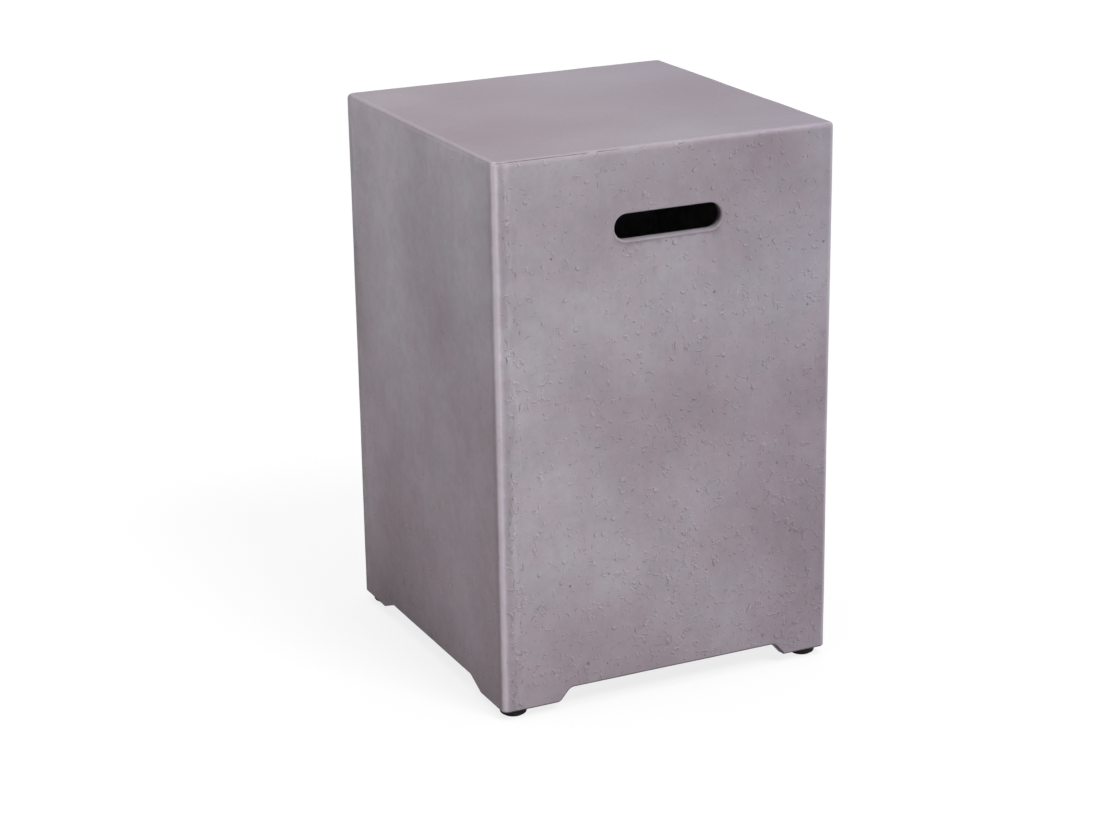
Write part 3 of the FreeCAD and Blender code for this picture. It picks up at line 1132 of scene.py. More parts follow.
    def crown_ring(self) -> list[tuple[Flat, Flat, float]]:
        """The places round the top edge.

        Returns:
            For each, X and Y on the wall, the way out and the edge's radius.
        """
        ring = []
        for side in Side:
            for along in spread(-self.straight, self.straight, self.STEP):
                spot, out = side.turned(along, self.half), side.turned(0, 1)
                ring.append((spot, out, self.edge_radius(side, along)))
            for angle in even(0, QUARTER, self.CORNER_PARTS)[1:-1]:
                swing = (sin(angle), cos(angle))
                spot = side.turned(*(self.straight + self.corner * a for a in swing))
                ring.append((spot, side.turned(*swing), self.edge_radius(side, self.straight)))
        return ring

    def crown_rows(self, ring: list[tuple[Flat, Flat, float]]) -> list[list[int]]:
        """Builds the rounded top edge.

        Args:
            ring: The places round the edge.

        Returns:
            Rows of vertices from the walls to the top.
        """
        rows = []
        for part, angle in enumerate(even(0, QUARTER, self.FILLET_PARTS + 1)):
            row = []
            for spot, out, radius in ring:
                place, normal = turned_in(spot, out, self.top, radius, angle)
                # One row carries the mould's hairline: a shallow dent with painted shade in it.
                seam = self.seam_share(*spot) if part == self.SEAM_ROW else 0.0
                row.append(self.skin(place, normal, (-seam * self.SEAM_DEPTH, -seam, seam)))
            rows.append(row)
        self.made.band(rows, Finish.OUTSIDE)
        return rows

    def seam_share(self, x: float, y: float) -> float:
        """How deep the mould's broken hairline is at a place round the top edge.

        Args:
            x: The place's X.
            y: Its Y.

        Returns:
            A number from 0 to 1: the line runs along the left part of the front edge.
        """
        held = smooth(-y, self.straight, self.half)
        held *= smooth(x, *(share * self.half for share in self.SEAM_ENDS))
        return held * smooth(ripple((x, y, 0), self.SEAM_LUMPS, self.SEAM_SEED), *self.SEAM_BREAKS)

    def posts(
        self,
        bottom: list[int],
        upper: list[int],
        crests: Sequence[float],
        heights: tuple[float, int],
        beside: int,
        finish: Finish,
    ) -> list[tuple[list[int], ...]]:
        """Builds the four upright corners, which bound the walls between them.

        Args:
            bottom: The vertices along the walls' lower boundary.
            upper: Those along their upper one.
            crests: The heights of the upper ones.
            heights: The height of the lower ones beside the reliefs, and how many steps
                a corner's columns take from there to the top.
            beside: How many stations beyond its own ones a wall takes in at either end.
            finish: The faces' material slot.

        Returns:
            For each wall the vertices of its lower, right, upper and left boundary.
        """
        count, per_wall = len(self.stations), len(upper) // len(Side)
        span = self.ZONE_PARTS - 2 * beside
        columns = per_wall - span + 1
        floor, parts = heights
        posts: list[list[list[int]]] = []
        for number, (_, last) in enumerate(self.walls):
            post = []
            for part in range(span + 1):
                at = (last + beside + part) % count
                to = (number * per_wall + columns - 1 + part) % len(upper)
                spot, out = self.stations[at].edge(finish)
                levels = even(floor, crests[to], parts)[1:-1]
                between = [self.put(finish, (*spot, z), (*out, 0)) for z in levels]
                post.append([bottom[at], *between, upper[to]])
            posts.append(post)
            self.made.strip(post, finish)
        found = []
        for number, (first, last) in enumerate(self.walls):
            low = [bottom[i % count] for i in range(first - beside, last + beside + 1)]
            high = upper[number * per_wall : number * per_wall + columns]
            found.append((low, posts[number][0], high, posts[number - 1][-1]))
        return found

    def outer_walls(
        self, bottom: list[int], crown: list[tuple[Flat, Flat, float]], upper: list[int]
    ) -> None:
        """Builds the upright corners and the four outer walls between them.

        Args:
            bottom: The vertices along the walls' lower boundary.
            crown: The places round the top edge.
            upper: The vertices along the walls' upper boundary.
        """
        floor = self.foot + self.bottom_edge
        parts = ceil((self.top - floor) / self.LEVEL_STEP)
        crests = [self.top - radius for _, _, radius in crown]
        bounds = self.posts(
            bottom, upper, crests, (floor, parts), self.SIDE_PARTS, Finish.OUTSIDE
        )
        beyond = spread(self.inner_straight, self.straight, self.STEP)[1:]
        columns = spread(-self.straight, self.straight, self.STEP)
        for side, bound in zip(Side, bounds):
            edge = self.lower_edge(side, self.bottom_edge)
            edge = [(-a, floor) for a in reversed(beyond)] + edge + [(a, floor) for a in beyond]
            rim = self.hand_slot(side) if side in self.SLOTTED else {}
            loose, crest = self.loose_points(side), partial(self.crest, side)
            self.wall_face(side, bound, edge, columns, crest, rim, loose, Finish.OUTSIDE)

    def wall_face(
        self,
        side: Side,
        bounds: Sequence[list[int]],
        edge: list[Flat],
        columns: Sequence[float],
        crest: Callable[[float], float],
        rim: Places,
        loose: tuple[Sequence[Fleck], Sequence[Flat]],
        finish: Finish,
    ) -> None:
        """Fills a wall between its boundaries.

        Args:
            side: The wall.
            bounds: The vertices of its lower, right, upper and left boundary.
            edge: The places of the lower ones.
            columns: How far along the wall the upper ones lie.
            crest: What gives the height of the upper boundary.
            rim: The vertices round its hand slot, with their places.
            loose: Its flaws, and the places of its loose grid.
            finish: The faces' material slot.
        """
        low, right, high, left = bounds
        flat = dict(zip(low, edge)) | rim
        for ids, along in ((right, columns[-1]), (left, columns[0])):
            heights = even(edge[0][1], crest(along), len(ids) - 1)
            flat.update((vertex, (along, height)) for vertex, height in zip(ids, heights))
        flat.update((vertex, (along, crest(along))) for vertex, along in zip(high, columns))
        loops = [low + right[1:-1] + high[::-1] + left[-2:0:-1]]
        if rim:
            loops.append(list(rim))
        self.face(loops, flat, *loose, partial(self.on_wall, side), finish)

    def loose_points(self, side: Side) -> tuple[list[Fleck], list[Flat]]:
        """Scatters what lies loose on an outer wall.

        Args:
            side: The wall.

        Returns:
            Its flaws, and the shifted places of its loose grid.
        """
        low, high = (-self.straight, self.foot), (self.straight, self.top)
        flecks = self.FLECKS[side].scatter(low, high, partial(self.wall_clear, side))
        draw = random.Random(side.value)
        grid = []
        for along in spread(low[0], high[0], self.GRID)[1:-1]:
            for height in spread(low[1], high[1], self.GRID)[1:-1]:
                x = along + draw.uniform(-self.JITTER, self.JITTER) * self.GRID
                z = height + draw.uniform(-self.JITTER, self.JITTER) * self.GRID
                if self.wall_clear(side, (x, z), self.MARGIN):
                    grid.append((x, z))
        return flecks, grid

    def wall_clear(self, side: Side, spot: Flat, reach: float) -> bool:
        """Whether something of a given reach stays inside a wall's face.

        Args:
            side: The wall.
            spot: Its place along and up the wall.
            reach: Its reach.

        Returns:
            True if it does.
        """
        along, height = spot
        relief = self.RELIEFS[side]
        off_relief = along < relief.start - reach or along > relief.end + reach
        floor = (self.foot if off_relief else relief.crest) + self.bottom_edge
        highest = self.crest(side, along)
        inside = abs(along) + reach < self.straight - self.MARGIN
        between = floor + self.MARGIN < height - reach and height + reach < highest - self.MARGIN
        off_slot = side not in self.SLOTTED or self.slot.clear(spot, reach + self.MARGIN)
        return inside and between and off_slot

    def face(
        self,
        loops: Sequence[Sequence[int]],
        flat: Places,
        flecks: Sequence[Fleck],
        grid: Sequence[Flat],
        adds: Callable[..., int],
        finish: Finish,
    ) -> None:
        """Fills a face, through its flaws and a loose grid between them.

        Args:
            loops: The vertices of its outline, and then of the hole in it.
            flat: Their places on the face.
            flecks: Its flaws.
            grid: The places of the grid.
            adds: What adds a vertex of a finish at a place, and on a flaw by its numbers.
            finish: The faces' material slot.
        """
        loose: list[int] = []
        lines: Pairs = []
        for fleck in flecks:
            way = 1 if fleck.rise > 0 else -1
            for row in fleck.rows():
                ids: list[int] = []
                for spot, share, grime in row:
                    if ids and spot == row[0][0]:
                        ids.append(ids[0])
                        continue
                    flaw = (fleck.rise * share, way * share, grime)
                    ids.append(adds(finish, spot, flaw))
                    flat[ids[-1]] = spot
                loose.extend(dict.fromkeys(ids))
                lines.extend(zip(ids, ids[1:]))
        beads = [bead for fleck in flecks for bead in fleck.beads()]
        taken = np.array(beads).reshape(-1, 3)
        for spot in grid:
            apart = np.hypot(taken[:, 0] - spot[0], taken[:, 1] - spot[1])
            if not (apart < taken[:, 2] + self.MARGIN).any():
                loose.append(adds(finish, spot))
                flat[loose[-1]] = spot
        self.made.sheet(loops, loose, flat, finish, lines)

    def hand_slot(self, side: Side) -> Places:
        """Builds the slot's rim and the way through the wall, with painted shade inside it.

        Args:
            side: The wall.

        Returns:
            The rim's vertices on the outer face, with their places on it.
        """
        path = self.slot.path(self.STEP)
        away = [(-x, -y) for x, y in left_normals(path, closed=True)]
        out = side.turned(0, 1)
        rows: list[Places] = []
        for back, more, facing, inward in self.slot.section(self.wall, self.FILLET_PARTS):
            row: Places = {}
            for (along, height), (m_along, m_up) in zip(path, away):
                spot = (along + m_along * more, height + m_up * more)
                run = side.turned(-m_along * inward, 0)
                normal = (out[0] * facing + run[0], out[1] * facing + run[1], -m_up * inward)
                # Past the lit lip the slot's inside gets painted shade, and so does the crease
                # under its lower rim.
                lit = self.slot.rim + max(self.LIT_DEPTH, -self.LIT_SILL * m_up)
                within = smooth(back, lit, lit + self.LIT_FADE)
                crease = max(0.0, -m_up) if facing == 1 else 0.0
                rise = self.SLOT_FLARE * inward - self.CREASE_DEPTH * crease
                flaw = (rise, -max(within, self.CREASE_SHADE * crease), within)
                place = (*side.turned(spot[0], self.half - back), spot[1])
                row[self.skin(place, normal, flaw)] = spot
            rows.append(row)
        self.made.band([list(row) for row in rows], Finish.OUTSIDE)
        self.slot_backs[side] = rows[-1]
        return rows[0]

    def level_face(
        self,
        rim: list[int],
        height: float,
        steps: list[float],
        flecks: list[Fleck],
        finish: Finish,
    ) -> None:
        """Fills a level face.

        Args:
            rim: The vertices round it.
            height: Its height.
            steps: Where the lines of its loose grid lie, both ways.
            flecks: Its flaws.
            finish: The faces' material slot.
        """
        flat = {vertex: self.made.points[vertex][:2] for vertex in rim}
        grid = [(x, y) for x in steps for y in steps]
        self.face([rim], flat, flecks, grid, partial(self.on_level, height), finish)

    def table_top(self, rim: list[int]) -> None:
        """Builds the top's flat face, with its few flaws.

        Args:
            rim: The vertices round it.
        """
        reach = self.half - max(self.edge_radii) * self.TOP_MARGIN - self.MARGIN

        def clear(spot: Flat, size: float) -> bool:
            """Whether a flaw of some size stays on the flat face."""
            return max(abs(spot[0]), abs(spot[1])) + size < reach

        flecks = self.TOP_FLECKS.scatter((-reach, -reach), (reach, reach), clear)
        self.level_face(rim, self.top, spread(-reach, reach, self.GRID), flecks, Finish.OUTSIDE)

    def cavity(self, bottom: list[int]) -> None:
        """Builds the cavity's roof, walls and rounded corners.

        Args:
            bottom: The vertices along the walls' lower boundary.
        """
        ceiling = self.top - self.roof
        columns = spread(-self.inner_straight, self.inner_straight, self.ROUGH_GRID)
        ring: list[tuple[Flat, Flat]] = []
        for side in Side:
            out = side.turned(0, 1)
            ring += [(side.turned(along, self.inner_half), out) for along in columns]
            ring += [station.inner for station in self.corner_stations(side)]
        rows = []
        for angle in even(0, QUARTER, self.CAVITY_PARTS):
            turned = (turned_in(spot, out, ceiling, self.cavity_roof, angle) for spot, out in ring)
            rows.append([self.rough(place, normal) for place, normal in turned])
        self.made.band(rows, Finish.INSIDE)
        reach = self.inner_half - self.cavity_roof - self.ROUGH_GRID / 2
        steps = spread(-reach, reach, self.ROUGH_GRID)
        self.level_face(rows[-1], ceiling, steps, [], Finish.INSIDE)
        self.inner_walls(bottom, rows[0], ceiling - self.cavity_roof, columns)

    def inner_walls(
        self, bottom: list[int], upper: list[int], spring: float, columns: list[float]
    ) -> None:
        """Builds the cavity's four walls and the rounded corners between them.

        Args:
            bottom: The vertices along the walls' lower boundary.
            upper: Those along their upper one.
            spring: The height of the upper ones before any roughness.
            columns: How far along a wall its upper ones lie.
        """
        floor = self.foot + self.inner_edge
        levels = spread(floor, spring, self.ROUGH_GRID)
        crests = [spring] * len(upper)
        bounds = self.posts(bottom, upper, crests, (floor, len(levels) - 1), 0, Finish.INSIDE)
        for side, bound in zip(Side, bounds):
            edge = self.lower_edge(side, self.inner_edge)
            rim = self.slot_backs.get(side, {})
            spots = ((along, height) for along in columns[1:-1] for height in levels[1:-1])
            grid = [s for s in spots if self.wall_clear(side, s, self.ROUGH_GRID / 3)]
            loose, crest = ([], grid), lambda along: spring
            self.wall_face(side, bound, edge, columns, crest, rim, loose, Finish.INSIDE)


@dataclass
class Graph:
    """A node tree that is being filled.

    Attributes:
        tree: The tree.
    """

    tree: bpy.types.NodeTree

    PATCH_EDGE = 0.12

    def add(self, kind: str, feeds: Feeds | None = None, **settings: object) -> bpy.types.Node:
        """Adds a node.

        Args:
            kind: Its type.
            feeds: What goes into its sockets: a value, or the socket that it comes from.
            settings: Its other properties.

        Returns:
            The node.
        """
        node = self.tree.nodes.new(kind)
        for name, value in settings.items():
            setattr(node, name, value)
        for key, value in (feeds or {}).items():
            if isinstance(value, Socket):
                self.tree.links.new(value, node.inputs[key])
            else:
                node.inputs[key].default_value = value
        return node

    def place(self) -> Socket:
        """The point's place in the frame."""
        return self.add("ShaderNodeTexCoord").outputs["Object"]

    def axes(self, vector: Source) -> Sockets:
        """A vector's X, Y and Z."""
        return dict(self.add("ShaderNodeSeparateXYZ", {"Vector": vector}).outputs.items())

    def vector(self, operation: str, *terms: Source) -> Socket:
        """The result of arithmetic on up to three vectors."""
        node = self.add("ShaderNodeVectorMath", dict(enumerate(terms)), operation=operation)
        return node.outputs["Vector"]

    def math(self, operation: str, *terms: Source) -> Socket:
        """The result of arithmetic on up to three terms."""
        node = self.add("ShaderNodeMath", dict(enumerate(terms)), operation=operation)
        return node.outputs[0]

    def times(self, first: Source, second: Source) -> Socket:
        """The product of two terms."""
        return self.math("MULTIPLY", first, second)

    def scaled(self, value: Source, scale: Source, shift: Source) -> Socket:
        """A value multiplied by a scale, with a shift added."""
        return self.math("MULTIPLY_ADD", value, scale, shift)

    def rest(self, share: Source) -> Socket:
        """What a share leaves of 1."""
        return self.math("SUBTRACT", 1.0, share)

    def step(self, value: Source, low: Source, high: Source) -> Socket:
        """A soft step from 0 at low to 1 at high."""
        feeds = {"Value": value, "From Min": low, "From Max": high}
        node = self.add("ShaderNodeMapRange", feeds, interpolation_type="SMOOTHSTEP")
        return node.outputs["Result"]

    def cloud(
        self, place: Source, scale: Source, detail: float = 3.0, rough: float = 0.55
    ) -> Socket:
        """Smooth noise from 0 to 1, of a scale in lumps per metre, with finer layers."""
        feeds = {"Vector": place, "Scale": scale, "Detail": detail, "Roughness": rough}
        return self.add("ShaderNodeTexNoise", feeds).outputs["Fac"]

    def moved(self, place: Source, shift: Point) -> Socket:
        """A place shifted, for another reading of the same noise."""
        return self.add("ShaderNodeMapping", {"Vector": place, "Location": shift}).outputs["Vector"]

    def in_patches(self, mask: Source, patch: Source, amount: Source) -> Socket:
        """A mask kept only in patches, an amount of the noise that they are cut from."""
        level = self.rest(amount)
        return self.times(mask, self.step(patch, level, self.math("ADD", level, self.PATCH_EDGE)))

    def blend(self, share: Source, first: Source, second: Source, how: str = "MIX") -> Socket:
        """A colour with a share of a second one laid on it."""
        feeds = {0: share, 6: first, 7: second}
        node = self.add("ShaderNodeMix", feeds, data_type="RGBA", blend_type=how)
        return node.outputs[2]

    def tint(self, share: Source, colour: Source, by: Source) -> Socket:
        """A colour multiplied by another one, as far as a share says."""
        return self.blend(share, colour, by, "MULTIPLY")

    def shaded(self, colour: Source, light: Source) -> Socket:
        """A colour multiplied by a number."""
        grey = self.add("ShaderNodeCombineColor", dict.fromkeys(range(3), light))
        return self.tint(1.0, colour, grey.outputs["Color"])

    def bump(self, height: Source, depth: float) -> Socket:
        """A normal tilted by a height, of which 1 stands for a depth in metres."""
        feeds = {"Height": height, "Distance": depth, "Strength": 1.0}
        return self.add("ShaderNodeBump", feeds).outputs["Normal"]

    def effect(self, effect: "Effect", **values: Source) -> Sockets:
        """Places a shared effect in a material, with the material's own values for it."""
        feeds = {name.replace("_", " ").title(): value for name, value in values.items()}
        return dict(self.add("ShaderNodeGroup", feeds, node_tree=effect.group()).outputs.items())


class Effect:
    """A surface effect that several materials share, built once as a node group.

    Attributes:
        name: The group's name.
        takes: Its inputs and their usual values.
        gives: Its outputs: numbers, apart from one named Color.
    """

    name = ""
    takes: dict[str, float | Colour] = {}
    gives: tuple[str, ...] = ("Mask",)

    def group(self) -> bpy.types.NodeTree:
        """The node group, made on first use.

        Returns:
            Its tree.
        """
        if self.name in bpy.data.node_groups:
            return bpy.data.node_groups[self.name]
        tree = bpy.data.node_groups.new(self.name, "ShaderNodeTree")
        for label, value in self.takes.items():
            kind = "NodeSocketFloat" if isinstance(value, float) else "NodeSocketColor"
            socket = tree.interface.new_socket(label, in_out="INPUT", socket_type=kind)
            socket.default_value = value
        for label in self.gives:
            kind = "NodeSocketColor" if label == "Color" else "NodeSocketFloat"
            tree.interface.new_socket(label, in_out="OUTPUT", socket_type=kind)
        graph = Graph(tree)
        taken = dict(graph.add("NodeGroupInput").outputs.items())
        graph.add("NodeGroupOutput", self.fill(graph, taken))
        return tree

    def fill(self, graph: Graph, taken: Sockets) -> Feeds:
        """Adds the group's nodes between its inputs and what goes to each output.

        Args:
            graph: The group's tree.
            taken: Its inputs.

        Returns:
            What goes to each output.
        """
        raise NotImplementedError


class CloudyTone(Effect):
    """Soft patches of paler and deeper, warmer and cooler colour."""

    name = "cloudy_tone"
    takes = {
        "Scale": 8.0,
        "Pale": (0.4, 0.37, 0.39, 1),
        "Deep": (0.3, 0.27, 0.29, 1),
        "Warm": (1, 0.985, 0.985, 1),
        "Cool": (0.98, 1, 1, 1),
    }
    gives = ("Color", "Patch")

    FINE_SCALE, HUE_SCALE = 3.6, 1.7
    WIDE_SHARE, FINE_SHARE = 0.58, 0.42

    def fill(self, graph: Graph, taken: Sockets) -> Feeds:
        """Adds the group's nodes.

        Args:
            graph: The group's tree.
            taken: Its inputs.

        Returns:
            What goes to each output.
        """
        place = graph.place()
        scale = taken["Scale"]
        wide = graph.cloud(place, scale)
        fine_place = graph.moved(place, (3.1, 1.7, 0.4))
        fine = graph.cloud(fine_place, graph.times(scale, self.FINE_SCALE))
        patch = graph.scaled(wide, self.WIDE_SHARE, graph.times(fine, self.FINE_SHARE))
        share = graph.step(patch, 0.36, 0.64)
        tone = graph.blend(share, taken["Deep"], taken["Pale"])
        hue_place = graph.moved(place, (7.9, 4.3, 2.2))
        hue = graph.cloud(hue_place, graph.times(scale, self.HUE_SCALE), 2.0)
        tint = graph.blend(graph.step(hue, 0.38, 0.62), taken["Warm"], taken["Cool"])
        return {"Color": graph.tint(1.0, tone, tint), "Patch": share}


class FineGrain(Effect):
    """Fine grain with tiny pores, as a height and as a faint speckle."""

    name = "fine_grain"
    takes = {"Scale": 700.0, "Contrast": 0.1}
    gives = ("Speckle", "Height")

    COARSE_SCALE, PORE_SCALE = 0.22, 0.3
    GRAIN_SHARE, COARSE_SHARE, PORE_SHARE = 0.3, 0.5, 0.2
    MEAN_HEIGHT = 0.58

    def fill(self, graph: Graph, taken: Sockets) -> Feeds:
        """Adds the group's nodes.

        Args:
            graph: The group's tree.
            taken: Its inputs.

        Returns:
            What goes to each output.
        """
        place = graph.place()
        scale = taken["Scale"]
        grain = graph.cloud(place, scale, 4.0, 0.65)
        coarse = graph.cloud(place, graph.times(scale, self.COARSE_SCALE), 3.0, 0.6)
        feeds = {"Vector": place, "Scale": graph.times(scale, self.PORE_SCALE)}
        pores = graph.add("ShaderNodeTexVoronoi", feeds).outputs["Distance"]
        surface = graph.scaled(coarse, self.COARSE_SHARE, graph.times(grain, self.GRAIN_SHARE))
        height = graph.scaled(graph.step(pores, 0.05, 0.22), self.PORE_SHARE, surface)
        swing = graph.math("SUBTRACT", height, self.MEAN_HEIGHT)
        return {"Speckle": graph.scaled(swing, taken["Contrast"], 1.0), "Height": height}


class Scuffs(Effect):
    """Thin wandering marks, in patches."""

    name = "scuff_marks"
    takes = {"Scale": 30.0, "Width": 0.012, "Amount": 0.5}

    def fill(self, graph: Graph, taken: Sockets) -> Feeds:
        """Adds the group's nodes.

        Args:
            graph: The group's tree.
            taken: Its inputs.

        Returns:
            What goes to each output.
        """
        place = graph.place()
        run = graph.cloud(graph.moved(place, (0.3, 5.2, 1.1)), taken["Scale"], 2.0)
        apart = graph.math("ABSOLUTE", graph.math("SUBTRACT", run, 0.5))
        line = graph.rest(graph.step(apart, 0.0, taken["Width"]))
        patch = graph.cloud(graph.moved(place, (9.4, 2.5, 6.0)), taken["Scale"], 1.0)
        return {"Mask": graph.in_patches(line, patch, taken["Amount"])}


class CastWrinkles(Effect):
    """Short raised creases that fork and curl, in patches, with a painted highlight and a painted
    shade.
    """

    name = "cast_wrinkles"
    takes = {"Scale": 60.0, "Width": 0.1, "Amount": 0.4}
    gives = ("Height", "Relief")

    SHIFT = (0.5 * MM, 0.5 * MM, 0.8 * MM)
    WANDER = (0.02, 0.02, 0.02)
    WANDER_SCALE, PATCH_SCALE = 1.6, 1.7

    def fill(self, graph: Graph, taken: Sockets) -> Feeds:
        """Adds the group's nodes.

        Args:
            graph: The group's tree.
            taken: Its inputs.

        Returns:
            What goes to each output.
        """
        place = graph.place()
        height = self.creases(graph, place, taken)
        above = self.creases(graph, graph.moved(place, self.SHIFT), taken)
        # Relief is a painted highlight and shade: the height less a reading shifted up and aside.
        return {"Height": height, "Relief": graph.math("SUBTRACT", height, above)}

    def creases(self, graph: Graph, place: Source, taken: Sockets) -> Socket:
        """The creases' height at a place.

        Args:
            graph: The group's tree.
            place: The place.
            taken: The group's inputs.

        Returns:
            The height, from 0 to 1.
        """
        scale = taken["Scale"]
        feeds = {"Vector": place, "Scale": graph.times(scale, self.WANDER_SCALE), "Detail": 3.0}
        wander = graph.add("ShaderNodeTexNoise", feeds).outputs["Color"]
        spot = graph.vector("MULTIPLY_ADD", wander, self.WANDER, place)
        feeds = {"Vector": spot, "Scale": scale}
        cells = graph.add("ShaderNodeTexVoronoi", feeds, feature="DISTANCE_TO_EDGE")
        line = graph.rest(graph.step(cells.outputs["Distance"], 0.0, taken["Width"]))
        patch = graph.cloud(place, graph.times(scale, self.PATCH_SCALE), 2.0)
        return graph.in_patches(line, patch, taken["Amount"])


class EdgeBand(Effect):
    """The strip along the edges of a box, which wear and a trowel leave paler, and on which the
    material paints a highlight along the upright edges.
    """

    name = "edge_band"
    takes = {"Half Side": 0.205, "Top": 0.627, "Width": 0.008}
    gives = ("Mask", "Upright", "Beside")

    SOFT_START = 0.55
    BESIDE_STARTS, BESIDE_ENDS = 1.25, (1.5, 2.4)

    def fill(self, graph: Graph, taken: Sockets) -> Feeds:
        """Adds the group's nodes.

        Args:
            graph: The group's tree.
            taken: Its inputs.

        Returns:
            What goes to each output.
        """
        place = graph.place()
        axes = graph.axes(place)
        sides = [
            graph.math("SUBTRACT", taken["Half Side"], graph.math("ABSOLUTE", axes[axis]))
            for axis in "XY"
        ]
        above = graph.math("SUBTRACT", taken["Top"], axes["Z"])
        nearer = graph.math("MINIMUM", *sides)
        further = graph.math("MAXIMUM", *sides)
        middle = graph.math("MAXIMUM", nearer, graph.math("MINIMUM", further, above))
        wander = graph.scaled(graph.cloud(place, 60.0, 3.0, 0.65), 0.4, 0.8)
        width = graph.times(taken["Width"], wander)
        within = graph.times(width, self.SOFT_START)
        start = graph.step(further, width, graph.times(width, self.BESIDE_STARTS))
        end = graph.step(further, *(graph.times(width, share) for share in self.BESIDE_ENDS))
        return {
            "Mask": graph.rest(graph.step(middle, within, width)),
            "Upright": graph.rest(graph.step(further, within, width)),
            "Beside": graph.math("SUBTRACT", start, end),
        }


class Streaks(Effect):
    """Fine upright streaks, as a mould or a trowel leaves them."""

    name = "upright_streaks"
    takes = {"Scale": 120.0, "Squeeze": 0.08}
    gives = ("Swing",)

    BEND_SCALE, BEND = 14.0, 0.014

    def fill(self, graph: Graph, taken: Sockets) -> Feeds:
        """Adds the group's nodes.

        Args:
            graph: The group's tree.
            taken: Its inputs.

        Returns:
            What goes to each output.
        """
        squeeze = graph.add("ShaderNodeCombineXYZ", {"X": 1.0, "Y": 1.0, "Z": taken["Squeeze"]})
        place = graph.place()
        lean = graph.cloud(graph.moved(place, (3.0, 3.0, 0.2)), self.BEND_SCALE, 2.0)
        bend = graph.times(lean, self.BEND)
        aside = graph.add("ShaderNodeCombineXYZ", {"X": bend, "Y": bend}).outputs["Vector"]
        bent = graph.vector("ADD", place, aside)
        drawn = graph.vector("MULTIPLY", bent, squeeze.outputs["Vector"])
        run = graph.cloud(graph.moved(drawn, (4.4, 0.9, 6.2)), taken["Scale"], 3.0, 0.6)
        return {"Swing": graph.scaled(run, 2.0, -1.0)}


class Dust(Effect):
    """Dust and splashes that gather low down, in patches."""

    name = "low_dust"
    takes = {"Bottom": 0.0, "Top": 0.2, "Scale": 25.0}

    def fill(self, graph: Graph, taken: Sockets) -> Feeds:
        """Adds the group's nodes.

        Args:
            graph: The group's tree.
            taken: Its inputs.

        Returns:
            What goes to each output.
        """
        place = graph.place()
        low = graph.rest(graph.step(graph.axes(place)["Z"], taken["Bottom"], taken["Top"]))
        patch = graph.cloud(graph.moved(place, (2.8, 8.1, 3.3)), taken["Scale"], 4.0, 0.6)
        return {"Mask": graph.times(low, graph.step(patch, 0.3, 0.7))}


@dataclass(frozen=True)
class SurfaceFinish:
    """A finish, which makes its material on first use.

    Attributes:
        name: The material's name.
        roughness: How matt it is.
        pale: Its paler tone.
        deep: Its deeper one.
    """

    name: str
    roughness: float
    pale: Colour = (0.9, 0.9, 0.9, 1)
    deep: Colour = (0.8, 0.8, 0.8, 1)

    def material(self) -> bpy.types.Material:
        """The finish's material.

        Returns:
            The material.
        """
        if self.name in bpy.data.materials:
            return bpy.data.materials[self.name]
        made = bpy.data.materials.new(self.name)
        made.use_nodes = True
        made.node_tree.nodes.clear()
        graph = Graph(made.node_tree)
        shader = graph.add("ShaderNodeBsdfPrincipled", self.feeds(graph))
        graph.add("ShaderNodeOutputMaterial", {"Surface": self.surface(graph, shader)})
        return made

    def surface(self, graph: Graph, shader: bpy.types.Node) -> Socket:
        """What the surface shows: the plain shader, unless a finish adds to it."""
        return shader.outputs["BSDF"]

    def tone(self, graph: Graph, scale: float) -> Sockets:
        """The clouds of the two tones, of a scale in patches per metre."""
        return graph.effect(CloudyTone(), scale=scale, pale=self.pale, deep=self.deep)

    def feeds(self, graph: Graph) -> Feeds:
        """Adds the finish's own nodes, and returns what goes into the shader.

        Args:
            graph: The material's tree.

        Returns:
            What goes into the shader.
        """
        raise NotImplementedError

    def dress(self, piece: bpy.types.Object) -> None:
        """Gives a piece this finish in all its material slots.

        Args:
            piece: The piece.
        """
        for slot in piece.material_slots:
            slot.material = self.material()
        if not piece.material_slots:
            piece.data.materials.append(self.material())


